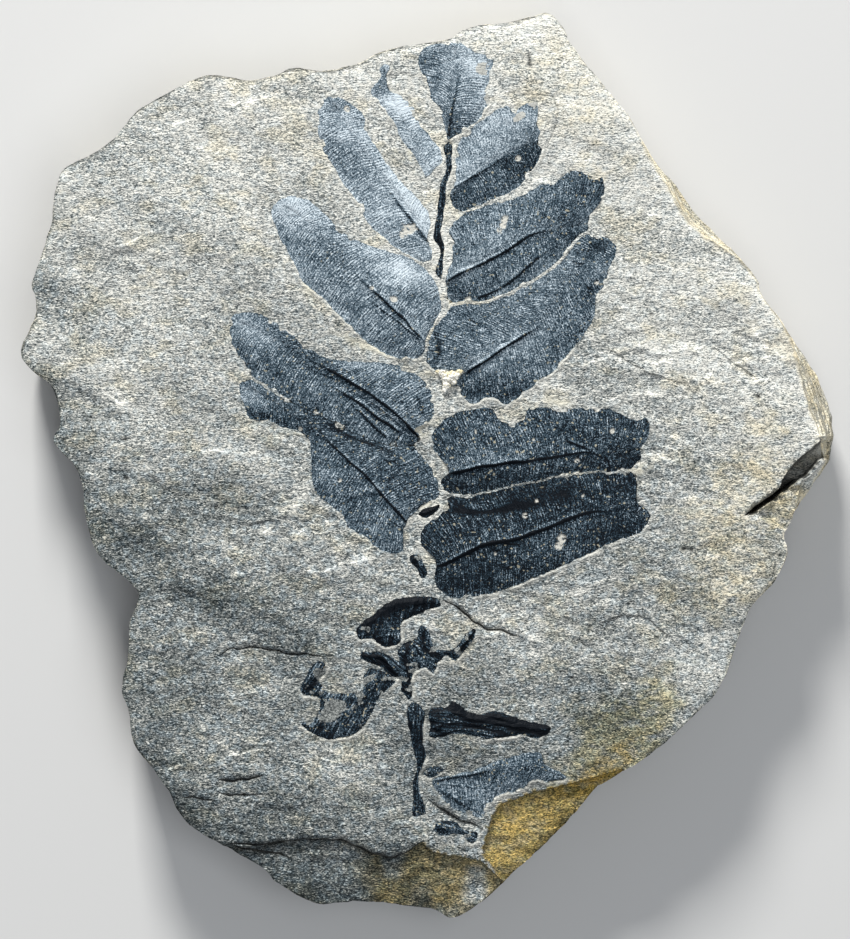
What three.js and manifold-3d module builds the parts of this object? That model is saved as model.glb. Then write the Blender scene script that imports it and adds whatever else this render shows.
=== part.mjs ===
// Fossil fern plate: one broken slab of grey shale that keeps part of a seed-fern frond.
// The frond is a thin film of carbon on the bedding plane, lost along most of its stem, so that
// each leaflet and each length of stem is a separate flake of film that lies on the stone.
//
// Frame: millimetres, +Z out of the bedding plane, +Y from the frond's foot to its tip.
// The origin is the middle of the underside, which is the face that the plate rests on.

import * as THREE from 'three';
import { mergeVertices } from 'three/addons/utils/BufferGeometryUtils.js';
import Module from 'manifold-3d';

const wasm = await Module();
wasm.setup();

// ---- Driving dimensions -------------------------------------------------------------------

const SLAB_THICKNESS = 13;
const FILM_THICKNESS = 0.4;
const MINERAL_THICKNESS = 0.6;
const LOWER_TERRACE_DEPTH = 1.2;
const OCHRE_TERRACE_DEPTH = 0.9;
const CREVICE_DEPTH = 4.5;
const BROKEN_CORNER_DEPTH = 2.2;
const CUT_OVERSHOOT = 2;
const STEPS_PER_CURVE_POINT = 2;

// The broken rim in plan, clockwise from the apex.
const SLAB_RIM = [
[16.9, 63.3], [19.3, 60.6], [20.1, 58.7], [27.9, 49], [31, 44.2], [32.7, 42], [34.7, 39.9],
[36.5, 37.2], [38.6, 34.7], [43.2, 30.2], [45, 28], [46.3, 25.6], [47, 23.4], [52.3, 16.5],
[54.4, 13.4], [55.9, 10.6], [56.9, 7.6], [57.3, 4.2], [57.1, 1.7], [56.1, -0.6], [51.9, -5.9],
[51, -8], [49.8, -10.2], [50.3, -11.8], [50.1, -13.6], [48.5, -16.5], [44.9, -20.9],
[41.1, -30.9], [37.6, -35], [30.9, -41], [24.7, -44.8], [22.5, -46.8], [17.3, -52.4], [5, -63.3],
[0.1, -62.6], [-8.3, -61.7], [-12.5, -61.6], [-16.2, -61.7], [-20.9, -59.2], [-23.6, -56.8],
[-26.7, -55], [-32.4, -51.7], [-34.1, -50.4], [-35.6, -48.2], [-36.9, -45.6], [-40.8, -40.3],
[-41.8, -37.9], [-42.2, -35], [-43.1, -32.6], [-43.1, -30.2], [-42.5, -27.7], [-42.1, -22.4],
[-41.2, -19.7], [-41.2, -17.5], [-46.4, -12.9], [-47.8, -9.5], [-48.5, -6.4], [-48.7, -3.1],
[-50.1, 0.1], [-51.7, 1.7], [-52.9, 3.4], [-52, 5.5], [-52, 7.1], [-53, 10.8], [-55.9, 13.2],
[-57.3, 15.8], [-55.4, 20.9], [-55.4, 23.5], [-55.7, 25.9], [-53.1, 33.5], [-52.9, 36.3],
[-51.7, 40.9], [-49.6, 42.4], [-46.4, 44], [-44.2, 45.9], [-42.2, 48.4], [-39.8, 50.3],
[-33.5, 53.8], [-29.6, 54.5], [-25.4, 53.9], [-21.6, 54.7], [-18.7, 55.7], [-14.4, 55.2],
[-9.5, 56.4], [-7.5, 57.5], [-4.1, 58.5], [2.5, 59.6], [4.6, 60.8], [7.1, 61.6], [10.6, 62],
[13.2, 62.6],
];

// The rim splits along the bedding, so each stack of laminae ends a little further in or out.
// `inset` is the distance in from the rim all the way round; `bevel` is the share of the wide
// slope on the right-hand edges that a lamina has lost.
const SLAB_LEVELS = [
  { height: 0, inset: 1.5, bevel: 0.2 },
  { height: 0.2, inset: 0.7, bevel: 0.12 },
  { height: 0.2, inset: 0.35, bevel: 0.08 },
  { height: 0.42, inset: 0, bevel: 0 },
  { height: 0.55, inset: 0.15, bevel: 0.12 },
  { height: 0.55, inset: 0.3, bevel: 0.34 },
  { height: 0.78, inset: 0.12, bevel: 0.5 },
  { height: 0.78, inset: 0.25, bevel: 0.76 },
  { height: 1, inset: 0.3, bevel: 1 },
];

// The two stretches of rim with a wide slope: where they lie round the slab and how wide.
const BEVELS = [
  { middleDegrees: 43, halfSpanDegrees: 17, width: 1.9 },
  { middleDegrees: 9, halfSpanDegrees: 14, width: 2.5 },
];

// ---- Shapes -------------------------------------------------------------------------------

// Width of the wide slope at a direction round the slab.
function bevelWidth(degrees) {
  let width = 0;
  for (const bevel of BEVELS) {
    const offset = Math.abs(degrees - bevel.middleDegrees) / bevel.halfSpanDegrees;
    if (offset < 1) width += bevel.width * 0.5 * (1 + Math.cos(Math.PI * offset));
  }
  return width;
}

// The rim moved in towards the middle of the slab for one level of its edge.
function rimAtLevel(level) {
  return SLAB_RIM.map(([x, y]) => {
    const radius = Math.hypot(x, y);
    const degrees = THREE.MathUtils.radToDeg(Math.atan2(y, x));
    const inset = level.inset + level.bevel * bevelWidth(degrees);
    const scale = 1 - inset / radius;
    return new THREE.Vector2(x * scale, y * scale);
  });
}

// A closed solid skinned over a stack of rings that all have the same number of points.
function stackedRings(rings, heights) {
  const count = rings[0].length;
  const positions = [];
  rings.forEach((ring, level) => {
    ring.forEach((point) => positions.push(point.x, point.y, heights[level]));
  });
  const indices = [];
  for (let level = 0; level + 1 < rings.length; level += 1) {
    for (let i = 0; i < count; i += 1) {
      const next = (i + 1) % count;
      const lower = level * count;
      const upper = lower + count;
      indices.push(lower + i, lower + next, upper + next);
      indices.push(lower + i, upper + next, upper + i);
    }
  }
  const top = (rings.length - 1) * count;
  for (const [a, b, c] of THREE.ShapeUtils.triangulateShape(rings[0], [])) {
    indices.push(a, c, b);
  }
  for (const [a, b, c] of THREE.ShapeUtils.triangulateShape(rings[rings.length - 1], [])) {
    indices.push(top + a, top + b, top + c);
  }
  const geometry = new THREE.BufferGeometry();
  geometry.setAttribute('position', new THREE.Float32BufferAttribute(positions, 3));
  geometry.setIndex(indices);
  return geometry;
}

// A straight prism over an outline.
function prism(outline, bottom, height) {
  const shape = new THREE.Shape(outline.map(([x, y]) => new THREE.Vector2(x, y)));
  const geometry = new THREE.ExtrudeGeometry(shape, { depth: height, bevelEnabled: false });
  geometry.translate(0, 0, bottom);
  return geometry;
}

// The outline of a flake as a smooth closed curve through its points.
function curvedOutline(points) {
  const places = points.map(([x, y]) => new THREE.Vector3(x, y, 0));
  const curve = new THREE.CatmullRomCurve3(places, true, 'centripetal');
  const samples = curve.getPoints(points.length * STEPS_PER_CURVE_POINT);
  samples.pop();
  return samples.map((place) => [place.x, place.y]);
}

function solidFromGeometry(geometry) {
  const bare = geometry.clone();
  bare.deleteAttribute('normal');
  bare.deleteAttribute('uv');
  const merged = mergeVertices(bare, 1e-5);
  return new wasm.Manifold(new wasm.Mesh({
    numProp: 3,
    vertProperties: new Float32Array(merged.attributes.position.array),
    triVerts: new Uint32Array(merged.index.array),
  }));
}

function geometryFromSolid(solid) {
  const mesh = solid.getMesh();
  const geometry = new THREE.BufferGeometry();
  geometry.setAttribute('position', new THREE.Float32BufferAttribute(mesh.vertProperties, 3));
  geometry.setIndex(new THREE.Uint32BufferAttribute(mesh.triVerts, 1));
  geometry.computeVertexNormals();
  return geometry;
}

const plate = new THREE.Group();

function addPiece(name, geometry, material) {
  const mesh = new THREE.Mesh(geometry, material);
  mesh.name = name;
  plate.add(mesh);
}

// ---- Shale slab ---------------------------------------------------------------------------
// One piece of stone. Its bedding plane is flat apart from four places where laminae have
// flaked off: the foot of the slab, the ochre terrace beside it, the crevice on the right and
// the corner below that crevice.

const LOWER_TERRACE = [
  [-28.6, -53], [-23, -52.8], [-17.8, -52], [-11.6, -52.2], [-8.4, -54.2], [-4.6, -54.8],
  [-2.2, -53.4], [-0.6, -52.8], [0.2, -54.4], [4.6, -55], [7.4, -55.6], [9.2, -57.4],
  [12, -60], [10, -66], [-20, -66], [-32, -58],
];

const OCHRE_TERRACE = [
  [22.4, -44.2], [19.6, -44.9], [17, -45.5], [14.6, -46], [12.4, -46.9], [10.2, -47.6],
  [9.2, -48.8], [8.5, -50.3], [7.9, -52.2], [7.5, -54], [7.8, -55.2], [9.2, -57.4],
  [12, -60], [20, -58], [30, -46], [26, -43.6],
];

const CREVICE = [
  [44.3, -7], [46, -5.7], [47.8, -4.6], [49, -3.4], [49.6, -1.9], [50.4, -0.7], [51.6, 0.7],
  [53.2, 2], [55.2, 3.7], [60, 3.4], [60, 0.6], [56.8, 1.4], [54.6, 0.4], [53, -1.6],
  [51.4, -2.7], [49.6, -3.8], [48, -5.2], [46, -6.5],
];

const BROKEN_CORNER = [
  [52, -2.4], [53.2, -1.8], [54.8, 0], [57, 1], [60, 0], [56, -8], [51.2, -6.6], [51.6, -4.6],
];

const SLAB_CUTS = [
  { outline: LOWER_TERRACE, depth: LOWER_TERRACE_DEPTH },
  { outline: OCHRE_TERRACE, depth: OCHRE_TERRACE_DEPTH },
  { outline: CREVICE, depth: CREVICE_DEPTH },
  { outline: BROKEN_CORNER, depth: BROKEN_CORNER_DEPTH },
];

function slabGeometry() {
  const rings = SLAB_LEVELS.map(rimAtLevel);
  const heights = SLAB_LEVELS.map((level) => level.height * SLAB_THICKNESS);
  let slab = solidFromGeometry(stackedRings(rings.map((ring) => ring.reverse()), heights));
  for (const cut of SLAB_CUTS) {
    const depth = cut.depth + CUT_OVERSHOOT;
    slab = slab.subtract(solidFromGeometry(prism(cut.outline, SLAB_THICKNESS - cut.depth, depth)));
  }
  return geometryFromSolid(slab);
}

const shale = new THREE.MeshStandardMaterial({ color: 0xa39f95, roughness: 0.92, metalness: 0 });

addPiece('shale_slab', slabGeometry(), shale);

// ---- Leaflets and stem --------------------------------------------------------------------
// Flakes of carbon film, each outlined where the film ends. Numbers count down from the tip.

const carbonFilm = new THREE.MeshStandardMaterial({ color: 0x4a5059, roughness: 0.6, metalness: 0 });
const darkFilm = new THREE.MeshStandardMaterial({ color: 0x1d2126, roughness: 0.5, metalness: 0 });

const LEAFLETS = {
  terminal_leaflet: [
[2.6, 45.5], [2, 47.9], [1.5, 49.8], [0.2, 51.4], [-0.2, 53.5], [-1.2, 55.2], [-1.5, 57],
[-0.6, 58.2], [1.1, 58.8], [2.9, 58.9], [4.7, 58.7], [6.4, 57.5], [8.5, 57.1], [9, 56.1],
[8.5, 55], [8.5, 53.8], [7.9, 52.2], [8.5, 50.8], [7.6, 49.4], [7.1, 48.3], [5.4, 47], [4, 46.1],
  ],
  right_leaflet_1: [
[3.6, 39.2], [3.7, 41.4], [3.7, 43.7], [4.3, 45.2], [5.7, 46.9], [7.8, 48.4], [9.9, 49.7],
[11.1, 50], [12.1, 49], [12.8, 50], [14.1, 50.5], [15.2, 50.5], [14.5, 49.1], [15.2, 47.3],
[15.9, 45.1], [15.5, 43], [14.6, 41.3], [13.4, 39.6], [12, 38.4], [9.2, 37.1], [6.4, 36],
[4.6, 35.4], [3.3, 36.1], [2.9, 37.8],
  ],
  right_leaflet_2: [
[2.3, 25.9], [3.2, 28.3], [3.2, 30.7], [2.7, 32.5], [3.6, 34], [5.3, 35.1], [8.5, 36.3],
[11.6, 37.1], [13.7, 37.9], [15.6, 39.1], [17.7, 39.3], [19, 40.5], [20.7, 41], [22.5, 40.3],
[24.2, 39.9], [24.6, 38.6], [23.9, 36.8], [22.6, 35.3], [22.2, 33.3], [21.1, 32.3], [20, 31.1],
[18.4, 29], [16.2, 27.2], [13.4, 25.5], [10.6, 24.2], [8.5, 23.4], [6.8, 23.1], [5.7, 23.5],
[4, 22.8], [2.7, 23.4], [2.5, 24.6],
  ],
  right_leaflet_3: [
[5.1, 12.9], [3.6, 13.7], [1.9, 13.2], [0.5, 13.2], [-0.4, 14.4], [-0.2, 16.5], [0.5, 18.6],
[2, 20.6], [4.3, 22.1], [6.8, 21.8], [9.2, 22.5], [11.8, 23.8], [14.5, 25.1], [17, 26.7],
[19.1, 28.6], [20.7, 30.8], [22.5, 31.9], [24.6, 31.8], [26, 30.7], [26.1, 29.1], [25.1, 27.3],
[24.9, 25.3], [23.6, 24.1], [23.3, 22.4], [23, 20.4], [21.8, 18.1], [19.3, 15.3], [16.9, 12.6],
[14.2, 10.5], [12.3, 9.1], [10.6, 8.3], [9.3, 9.1], [7.9, 9.2], [6, 8.3], [4.4, 9.8],
[3.4, 11.1], [4.1, 12.2],
  ],
  right_leaflet_4: [
[2.7, -1.4], [2.2, 0.6], [1.9, 1.7], [0.9, 1.5], [0.4, 2.7], [0.6, 4.3], [1.9, 6], [4.1, 7.1],
[6.8, 7.7], [8.8, 7.7], [9.7, 6.3], [11.6, 5.6], [13.2, 6.3], [13.9, 7.7], [18.3, 7.7],
[22.5, 7.7], [25.4, 7.6], [27.5, 6.6], [28.9, 6], [30.3, 6.4], [30.9, 5.2], [30.5, 3.4],
[29.5, 2.2], [29.6, 0.7], [28.2, -0.1], [27, 0.1], [26.1, -0.8], [23.6, -0.8], [20.4, -1.1],
[18, -1.4], [15.9, -2], [12.7, -2.5], [9.9, -3.2], [7.1, -3.8], [5.3, -4.3], [3.7, -3.5],
[2.5, -3.6], [1.8, -3.1], [1.9, -2.1],
  ],
  right_leaflet_5: [
[0.9, -13.7], [1.2, -12.9], [-0.4, -12.3], [-1.2, -10.9], [-0.9, -9], [0.4, -7.8], [1.9, -6.7],
[2.6, -5.6], [4, -5], [6.8, -4.6], [9.9, -3.9], [12.7, -3.2], [15.5, -2.8], [18.3, -2.1],
[21.8, -1.7], [25.3, -1.5], [27.4, -1.8], [28.9, -2.1], [29.1, -3.6], [29.1, -5.2], [30.9, -7.1],
[30.6, -8.4], [29.2, -9.7], [26, -10.9], [22.5, -12.6], [18.3, -14.4], [14.1, -16.2],
[10.6, -17.6], [7.8, -18.3], [4.6, -18.8], [2.6, -18.5], [1.3, -17.4], [0.6, -15.8],
[1.1, -14.7],
  ],
  left_leaflet_1: [
[1.6, 42.1], [0.8, 41.4], [-0.4, 40.2], [-1.2, 41.7], [-2.6, 43.7], [-3.9, 45.4], [-4.6, 47.2],
[-5.8, 49.1], [-7.1, 50.8], [-8.1, 51.9], [-7.4, 53.2], [-6.8, 54.3], [-7.1, 55.3], [-6.4, 55.9],
[-5.5, 55.4], [-6.1, 54.2], [-5.3, 52.6], [-3.6, 51.2], [-2.3, 50.1], [-1.6, 48], [0.1, 45.9],
[1.2, 44.4], [1.8, 43.1],
  ],
  left_leaflet_2: [
[0.4, 30], [0.4, 28.7], [-0.8, 28.3], [-2.7, 29.1], [-5, 30.5], [-6.8, 32.2], [-8.8, 33.9],
[-9.7, 36], [-11, 37.9], [-12.4, 39.6], [-13.2, 41.3], [-14.6, 43.5], [-15.5, 46.3],
[-15.8, 48.9], [-15.1, 50.8], [-13.4, 51.4], [-11.7, 50.8], [-9.7, 49.4], [-8.9, 48.3],
[-8.9, 46.8], [-7.5, 44.4], [-5.7, 41.6], [-3.6, 39.1], [-1.1, 36.7], [-0.1, 35.1], [0.2, 33.2],
[-0.5, 31.9],
  ],
  left_leaflet_3: [
[-0.5, 17.4], [-0.6, 15.8], [-1.8, 14.7], [-3.7, 14.6], [-6.1, 15.4], [-8.9, 17.2],
[-11.1, 19.3], [-13.2, 21.4], [-15.2, 23.5], [-17.2, 24.9], [-18.6, 27.2], [-19.5, 29.3],
[-20.7, 31.2], [-21.5, 33.2], [-22.1, 35.3], [-21.2, 36.8], [-19.4, 37.4], [-17.4, 37.1],
[-15.6, 35.8], [-13.8, 34], [-11.6, 32.2], [-9, 30.8], [-5.5, 29.7], [-2.7, 28.8], [-0.8, 27.4],
[0.6, 25.8], [1.5, 23.7], [1.6, 21.6], [0.8, 19.9],
  ],
  left_leaflet_4: [
[-1.2, 3.8], [-2.9, 3.1], [-5, 2.9], [-7.6, 3.6], [-10.9, 5], [-13.9, 6.6], [-17, 8],
[-19.8, 9.4], [-21.6, 10.6], [-23.9, 12], [-25.8, 14.1], [-27.4, 16.4], [-28.1, 18.8],
[-27.5, 20.6], [-25.6, 21.3], [-23.5, 20.9], [-21.4, 19.7], [-19.4, 18.1], [-16.7, 16],
[-14.2, 14.8], [-11.1, 14.4], [-6.9, 14.1], [-3.6, 13.6], [-1.9, 12.7], [-0.4, 11.2], [0.5, 9.2],
[0.6, 7.1], [0.1, 6], [-1.3, 6], [-2.9, 5.6],
  ],
  left_leaflet_5: [
[-3.3, -8.4], [-4.1, -9.9], [-3.7, -11.9], [-4.7, -12.6], [-6.4, -12.3], [-7.8, -11.5],
[-8.9, -10.2], [-11.1, -9], [-12.4, -7], [-14.4, -5.3], [-16, -3.9], [-16.5, -1.5], [-16.5, 1.3],
[-16.7, 3.2], [-18.3, 4.6], [-20.5, 5], [-22.6, 6], [-24.9, 6.2], [-25.7, 7.8], [-26.5, 9.8],
[-26.5, 11.3], [-25.1, 11.5], [-22.9, 10.4], [-20.4, 8.7], [-17.4, 7.3], [-14.2, 5.7],
[-11.1, 4.2], [-7.8, 2.8], [-4.8, 2.1], [-2.5, 2], [-0.8, 0.7], [0.5, -1.1], [1.3, -3.2],
[1.2, -4.8], [-0.6, -5.5], [-2.2, -6.9],
  ],
  lower_leaflet_1: [
[-0.1, -38.2], [0.1, -36.7], [-0.1, -35], [0.5, -34.3], [2.5, -33.9], [3.3, -33.2], [4.8, -34.2],
[7.1, -35.1], [8.6, -34.6], [11, -35.1], [14.1, -36.1], [17, -36.8], [16.5, -37.9],
[14.8, -38.4], [12.4, -38.1], [9.9, -38.4], [7.1, -38.5], [4.6, -37.8], [2.2, -38.2],
  ],
  lower_leaflet_2: [
[0.5, -44.4], [2.5, -43.7], [5.1, -43.3], [7.6, -42.4], [9.9, -41.4], [12.7, -40.7],
[15.5, -40.5], [16.2, -42.1], [18.1, -43.1], [19.3, -44], [17.2, -44.5], [14.4, -44.9],
[11.8, -45.9], [9.5, -46.5], [8.5, -47.9], [7.6, -49.4], [5.4, -49.1], [3.2, -48.2],
[1.6, -46.6],
  ],
};

// The crumpled leaflets at the break in the stem, the lengths of stem and the loose scraps.
const DARK_FLAKES = {
  curled_leaflet_top: [
[1.6, -20], [0.1, -20.3], [-1.3, -21], [-3, -21.7], [-3.9, -22.7], [-3.9, -24.4], [-4.7, -25.6],
[-6.4, -25.5], [-8.3, -24.6], [-9.7, -24.6], [-10.2, -23.8], [-9.6, -22.3], [-8.2, -21.3],
[-6.9, -20.2], [-5.1, -19], [-2.7, -18.6], [-0.2, -18.6], [1.3, -19],
  ],
  curled_leaflet_middle: [
[-2.9, -33], [-3.9, -31.8], [-4, -30.4], [-5.3, -29.7], [-6.7, -28.6], [-9.5, -27.3],
[-9.5, -26.3], [-7.2, -26.3], [-5.3, -27], [-4.3, -27.6], [-4.4, -26.2], [-3.4, -25.1],
[-2, -24.6], [-1.2, -22.7], [-0.2, -23.1], [0.4, -24.8], [1.6, -26], [3.2, -26], [4.4, -24.9],
[5, -23.7], [6.4, -23.2], [6.2, -24.5], [5, -26], [3.7, -27.6], [2.6, -27], [1.2, -27.9],
[0.6, -29.5], [-0.5, -28.6], [-2, -29.1], [-2.5, -30.7], [-2.3, -32.2],
  ],
  curled_leaflet_left: [
[-4.7, -30.4], [-6.1, -31.8], [-7.1, -33.2], [-8.2, -35.3], [-9.7, -37.4], [-12.3, -38.4],
[-14.6, -38.5], [-17, -37.4], [-18.1, -36.1], [-16.5, -36], [-15.3, -34], [-15.6, -32.8],
[-17.3, -32.6], [-18, -31.4], [-17.2, -29.8], [-16.3, -28.1], [-14.9, -27.7], [-14.5, -29],
[-15.2, -30.4], [-14.6, -31.9], [-11.8, -32.2], [-9.2, -31.6], [-9.2, -30], [-8.1, -28.6],
[-6.4, -29.1],
  ],
  upper_stem: [
[1.6, 25.9], [0.9, 26.9], [1.3, 28.6], [1.5, 30.1], [0.6, 31.6], [0.9, 34.2], [1.3, 37],
[1.6, 39.3], [2.3, 40.9], [2.3, 42.8], [2, 44.2], [2.7, 45.1], [3.3, 44.4], [3.2, 42.8],
[3.2, 41.2], [2.5, 39.2], [2.3, 36.7], [2, 34.4], [1.6, 32.2], [2.2, 30.2], [2, 28.3],
[1.9, 26.9],
  ],
  stem_chip: [
[-1.5, -7.1], [-0.8, -6.3], [0.2, -6], [1.5, -5.7], [1.2, -6.4], [0.2, -7.3], [-0.6, -7.6],
  ],
  middle_stem: [
[-1.2, -16], [-1.8, -14.7], [-2.7, -13.7], [-2.6, -12.9], [-1.3, -12.9], [-0.8, -13.9],
[-0.2, -15.1], [-0.6, -16],
  ],
  lower_stem: [
[-2.3, -49.3], [-2.2, -46.8], [-2.3, -44.5], [-1.8, -42.8], [-2, -40.7], [-2.6, -38.6],
[-3, -36.1], [-3, -34], [-2.3, -33.3], [-1.5, -33.6], [-0.6, -34.9], [-0.8, -37], [-0.9, -38.9],
[-0.5, -40.7], [-0.9, -42.4], [-1.5, -44], [-1.3, -46.2], [-0.5, -48.9], [-1.3, -49.4],
  ],
  leaflet_stub: [
[-0.8, -43.4], [-0.1, -42.6], [1.2, -42.4], [2, -43], [1.2, -43.7], [0.1, -44],
  ],
  leaf_scrap: [
[0.5, -51.2], [1.2, -50.3], [2.6, -50], [4.1, -50.5], [5.1, -51.4], [6.8, -51.7], [6.5, -52.9],
[5.5, -53.1], [4.8, -52.1], [3.3, -51.9], [1.6, -52.1],
  ],
};

function addFlakes(flakes, material) {
  for (const [name, points] of Object.entries(flakes)) {
    addPiece(name, prism(curvedOutline(points), SLAB_THICKNESS, FILM_THICKNESS), material.clone());
  }
}

addFlakes(LEAFLETS, carbonFilm);
addFlakes(DARK_FLAKES, darkFilm);

// ---- Mineral patch ------------------------------------------------------------------------
// A small white crust in the notch at the foot of the third leaflet on the right.

const MINERAL_PATCH = [
[2, 12.7], [2.9, 13.2], [3.9, 13.2], [4.4, 12.7], [3.7, 12.1], [3, 11.2], [2.3, 10.6],
[1.6, 11.1], [1.6, 12],
];

const whiteMineral = new THREE.MeshStandardMaterial({ color: 0xe4e0d6, roughness: 0.8, metalness: 0 });

addPiece(
  'mineral_patch',
  prism(curvedOutline(MINERAL_PATCH), SLAB_THICKNESS, MINERAL_THICKNESS),
  whiteMineral,
);

export default plate;
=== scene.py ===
import math

import bmesh
import bpy
import numpy as np
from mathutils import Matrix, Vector, geometry, kdtree


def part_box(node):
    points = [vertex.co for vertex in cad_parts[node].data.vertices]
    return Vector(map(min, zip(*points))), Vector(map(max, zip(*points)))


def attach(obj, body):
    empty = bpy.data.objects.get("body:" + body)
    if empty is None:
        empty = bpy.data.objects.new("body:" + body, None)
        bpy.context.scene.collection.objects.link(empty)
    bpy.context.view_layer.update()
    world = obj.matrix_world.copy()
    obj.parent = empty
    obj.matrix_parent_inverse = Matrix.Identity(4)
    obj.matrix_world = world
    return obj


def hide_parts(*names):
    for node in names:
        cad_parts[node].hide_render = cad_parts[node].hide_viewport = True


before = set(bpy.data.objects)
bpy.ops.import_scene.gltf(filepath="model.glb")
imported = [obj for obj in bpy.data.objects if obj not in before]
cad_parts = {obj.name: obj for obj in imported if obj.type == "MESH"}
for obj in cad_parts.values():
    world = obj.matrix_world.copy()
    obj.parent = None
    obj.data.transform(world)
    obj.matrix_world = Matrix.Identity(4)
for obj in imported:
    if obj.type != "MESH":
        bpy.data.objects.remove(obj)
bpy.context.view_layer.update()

MM = 0.001

# ---- Camera, light and table ------------------------------------------------------------
# The plate lies on its back on a pale table. The camera looks straight down on the fossil face
# and the light rakes in from the tip of the frond, so that every ledge casts a short shadow.

VIEW_WIDTH = 119.0
IMAGE_WIDTH, IMAGE_HEIGHT = 850, 939
LENS = 180.0
SENSOR = 36.0
FACE_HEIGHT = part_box("shale_slab")[1].z / MM
VIEW_CENTRE = (-0.6, -0.8)

view_height = VIEW_WIDTH * IMAGE_HEIGHT / IMAGE_WIDTH
camera_distance = view_height * LENS / SENSOR
camera_data = bpy.data.cameras.new("overhead_camera")
camera_data.lens = LENS
camera_data.sensor_width = SENSOR
camera_data.clip_start = 0.01
camera_data.clip_end = 20
camera = bpy.data.objects.new("overhead_camera", camera_data)
camera.location = (VIEW_CENTRE[0] * MM, VIEW_CENTRE[1] * MM, (FACE_HEIGHT + camera_distance) * MM)
bpy.context.scene.collection.objects.link(camera)
bpy.context.scene.camera = camera


def add_area_light(name, place, size, watts, colour):
    """A square studio light at a place in metres, aimed at the middle of the plate."""
    data = bpy.data.lights.new(name, "AREA")
    data.size = size
    data.energy = watts
    data.color = colour
    light = bpy.data.objects.new(name, data)
    light.location = place
    light.rotation_euler = (-Vector(place)).to_track_quat("-Z", "Y").to_euler()
    bpy.context.scene.collection.objects.link(light)


add_area_light("window_light", (-0.2, 0.98, 0.5), 0.24, 19.0, (1.0, 0.985, 0.96))
add_area_light("overhead_fill", (0.25, -0.2, 1.1), 0.9, 5.5, (0.93, 0.96, 1.0))

world = bpy.data.worlds.new("studio")
bpy.context.scene.world = world
world.use_nodes = True
background = world.node_tree.nodes["Background"]
background.inputs["Color"].default_value = (0.9, 0.93, 1.0, 1)
background.inputs["Strength"].default_value = 0.2
bpy.context.scene.view_settings.view_transform = "Standard"

bpy.ops.object.select_all(action="DESELECT")
bpy.ops.mesh.primitive_plane_add(size=6, location=(0, 0, -0.0002))
table = bpy.context.object
table.name = "table"
table_paint = bpy.data.materials.new("table_paint")
table_paint.use_nodes = True
table_shader = table_paint.node_tree.nodes["Principled BSDF"]
table_shader.inputs["Base Color"].default_value = (0.62, 0.62, 0.61, 1)
table_shader.inputs["Roughness"].default_value = 0.9
table.data.materials.append(table_paint)


# ---- Shale slab -------------------------------------------------------------------------
# One broken stone. Its upper face is a bedding plane, smooth towards the tip of the frond and
# flaking into low scarps towards the foot; its rim splits into thin laminae. It is made as one
# closed skin: a fine net over the face, rings of laminae down the rim, and a rough underside.

NOISE_CELLS = 128


def lumps(x, y, length, width, seed):
    """Smooth noise from -1 to 1 whose lumps are `length` along X and `width` along Y."""
    table_of_values = np.random.default_rng(seed).uniform(-1, 1, (NOISE_CELLS, NOISE_CELLS))
    across = np.asarray(x) / length + 0.37 * NOISE_CELLS
    along = np.asarray(y) / width + 0.61 * NOISE_CELLS
    column = np.floor(across).astype(int)
    row = np.floor(along).astype(int)
    u = across - column
    v = along - row
    u = u * u * u * (u * (u * 6 - 15) + 10)
    v = v * v * v * (v * (v * 6 - 15) + 10)
    left, right = column % NOISE_CELLS, (column + 1) % NOISE_CELLS
    low, high = row % NOISE_CELLS, (row + 1) % NOISE_CELLS
    bottom = table_of_values[low, left] * (1 - u) + table_of_values[low, right] * u
    top = table_of_values[high, left] * (1 - u) + table_of_values[high, right] * u
    return bottom * (1 - v) + top * v


def ramp(value, start, end):
    """0 before start, 1 after end, smooth between."""
    share = np.clip((np.asarray(value) - start) / (end - start), 0, 1)
    return share * share * (3 - 2 * share)


def lengths_along(path):
    """The length of a path up to each of its places."""
    return np.concatenate([[0], np.cumsum(np.hypot(*np.diff(path, axis=0).T))])


def even_places(path, count):
    """The same path as `count` places an equal way apart, both ends kept."""
    distance = lengths_along(path)
    at = np.linspace(0, distance[-1], count)
    return np.column_stack([np.interp(at, distance, path[:, k]) for k in range(path.shape[1])])


def even_steps(path, spacing):
    """The same path cut into equal steps of about `spacing`, both ends kept."""
    path = np.asarray(path, float)
    steps = int(round(lengths_along(path)[-1] / spacing))
    return even_places(path, max(2, steps + 1))


def between_points(a, b, c, d, share):
    """The place that lies `share` of the way from b to c, on the smooth curve through all four."""
    return (
        b
        + 0.5 * share * (c - a)
        + share**2 * (a - 2.5 * b + 2 * c - 0.5 * d)
        + share**3 * (1.5 * (b - c) + 0.5 * (d - a))
    )


def closed_curve(points, spacing):
    """A smooth closed curve through points, as places an equal `spacing` apart."""
    points = np.asarray(points, float)
    four = [np.roll(points, shift, 0) for shift in (1, 0, -1, -2)]
    pieces = [between_points(*four, share) for share in np.linspace(0, 1, 12, endpoint=False)]
    dense = np.stack(pieces, 1).reshape(-1, 2)
    return even_steps(np.vstack([dense, dense[:1]]), spacing)[:-1]


def across_run(run):
    """Unit vectors square to the right of each run."""
    return np.column_stack([run[:, 1], -run[:, 0]]) / np.hypot(*run.T)[:, None]


def outward(loop):
    """The way out of an anticlockwise loop at each of its places."""
    return across_run(np.roll(loop, -1, 0) - np.roll(loop, 1, 0))


def sideways(path):
    """The way to the right of an open path at each of its places."""
    return across_run(np.gradient(path, axis=0))


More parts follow.
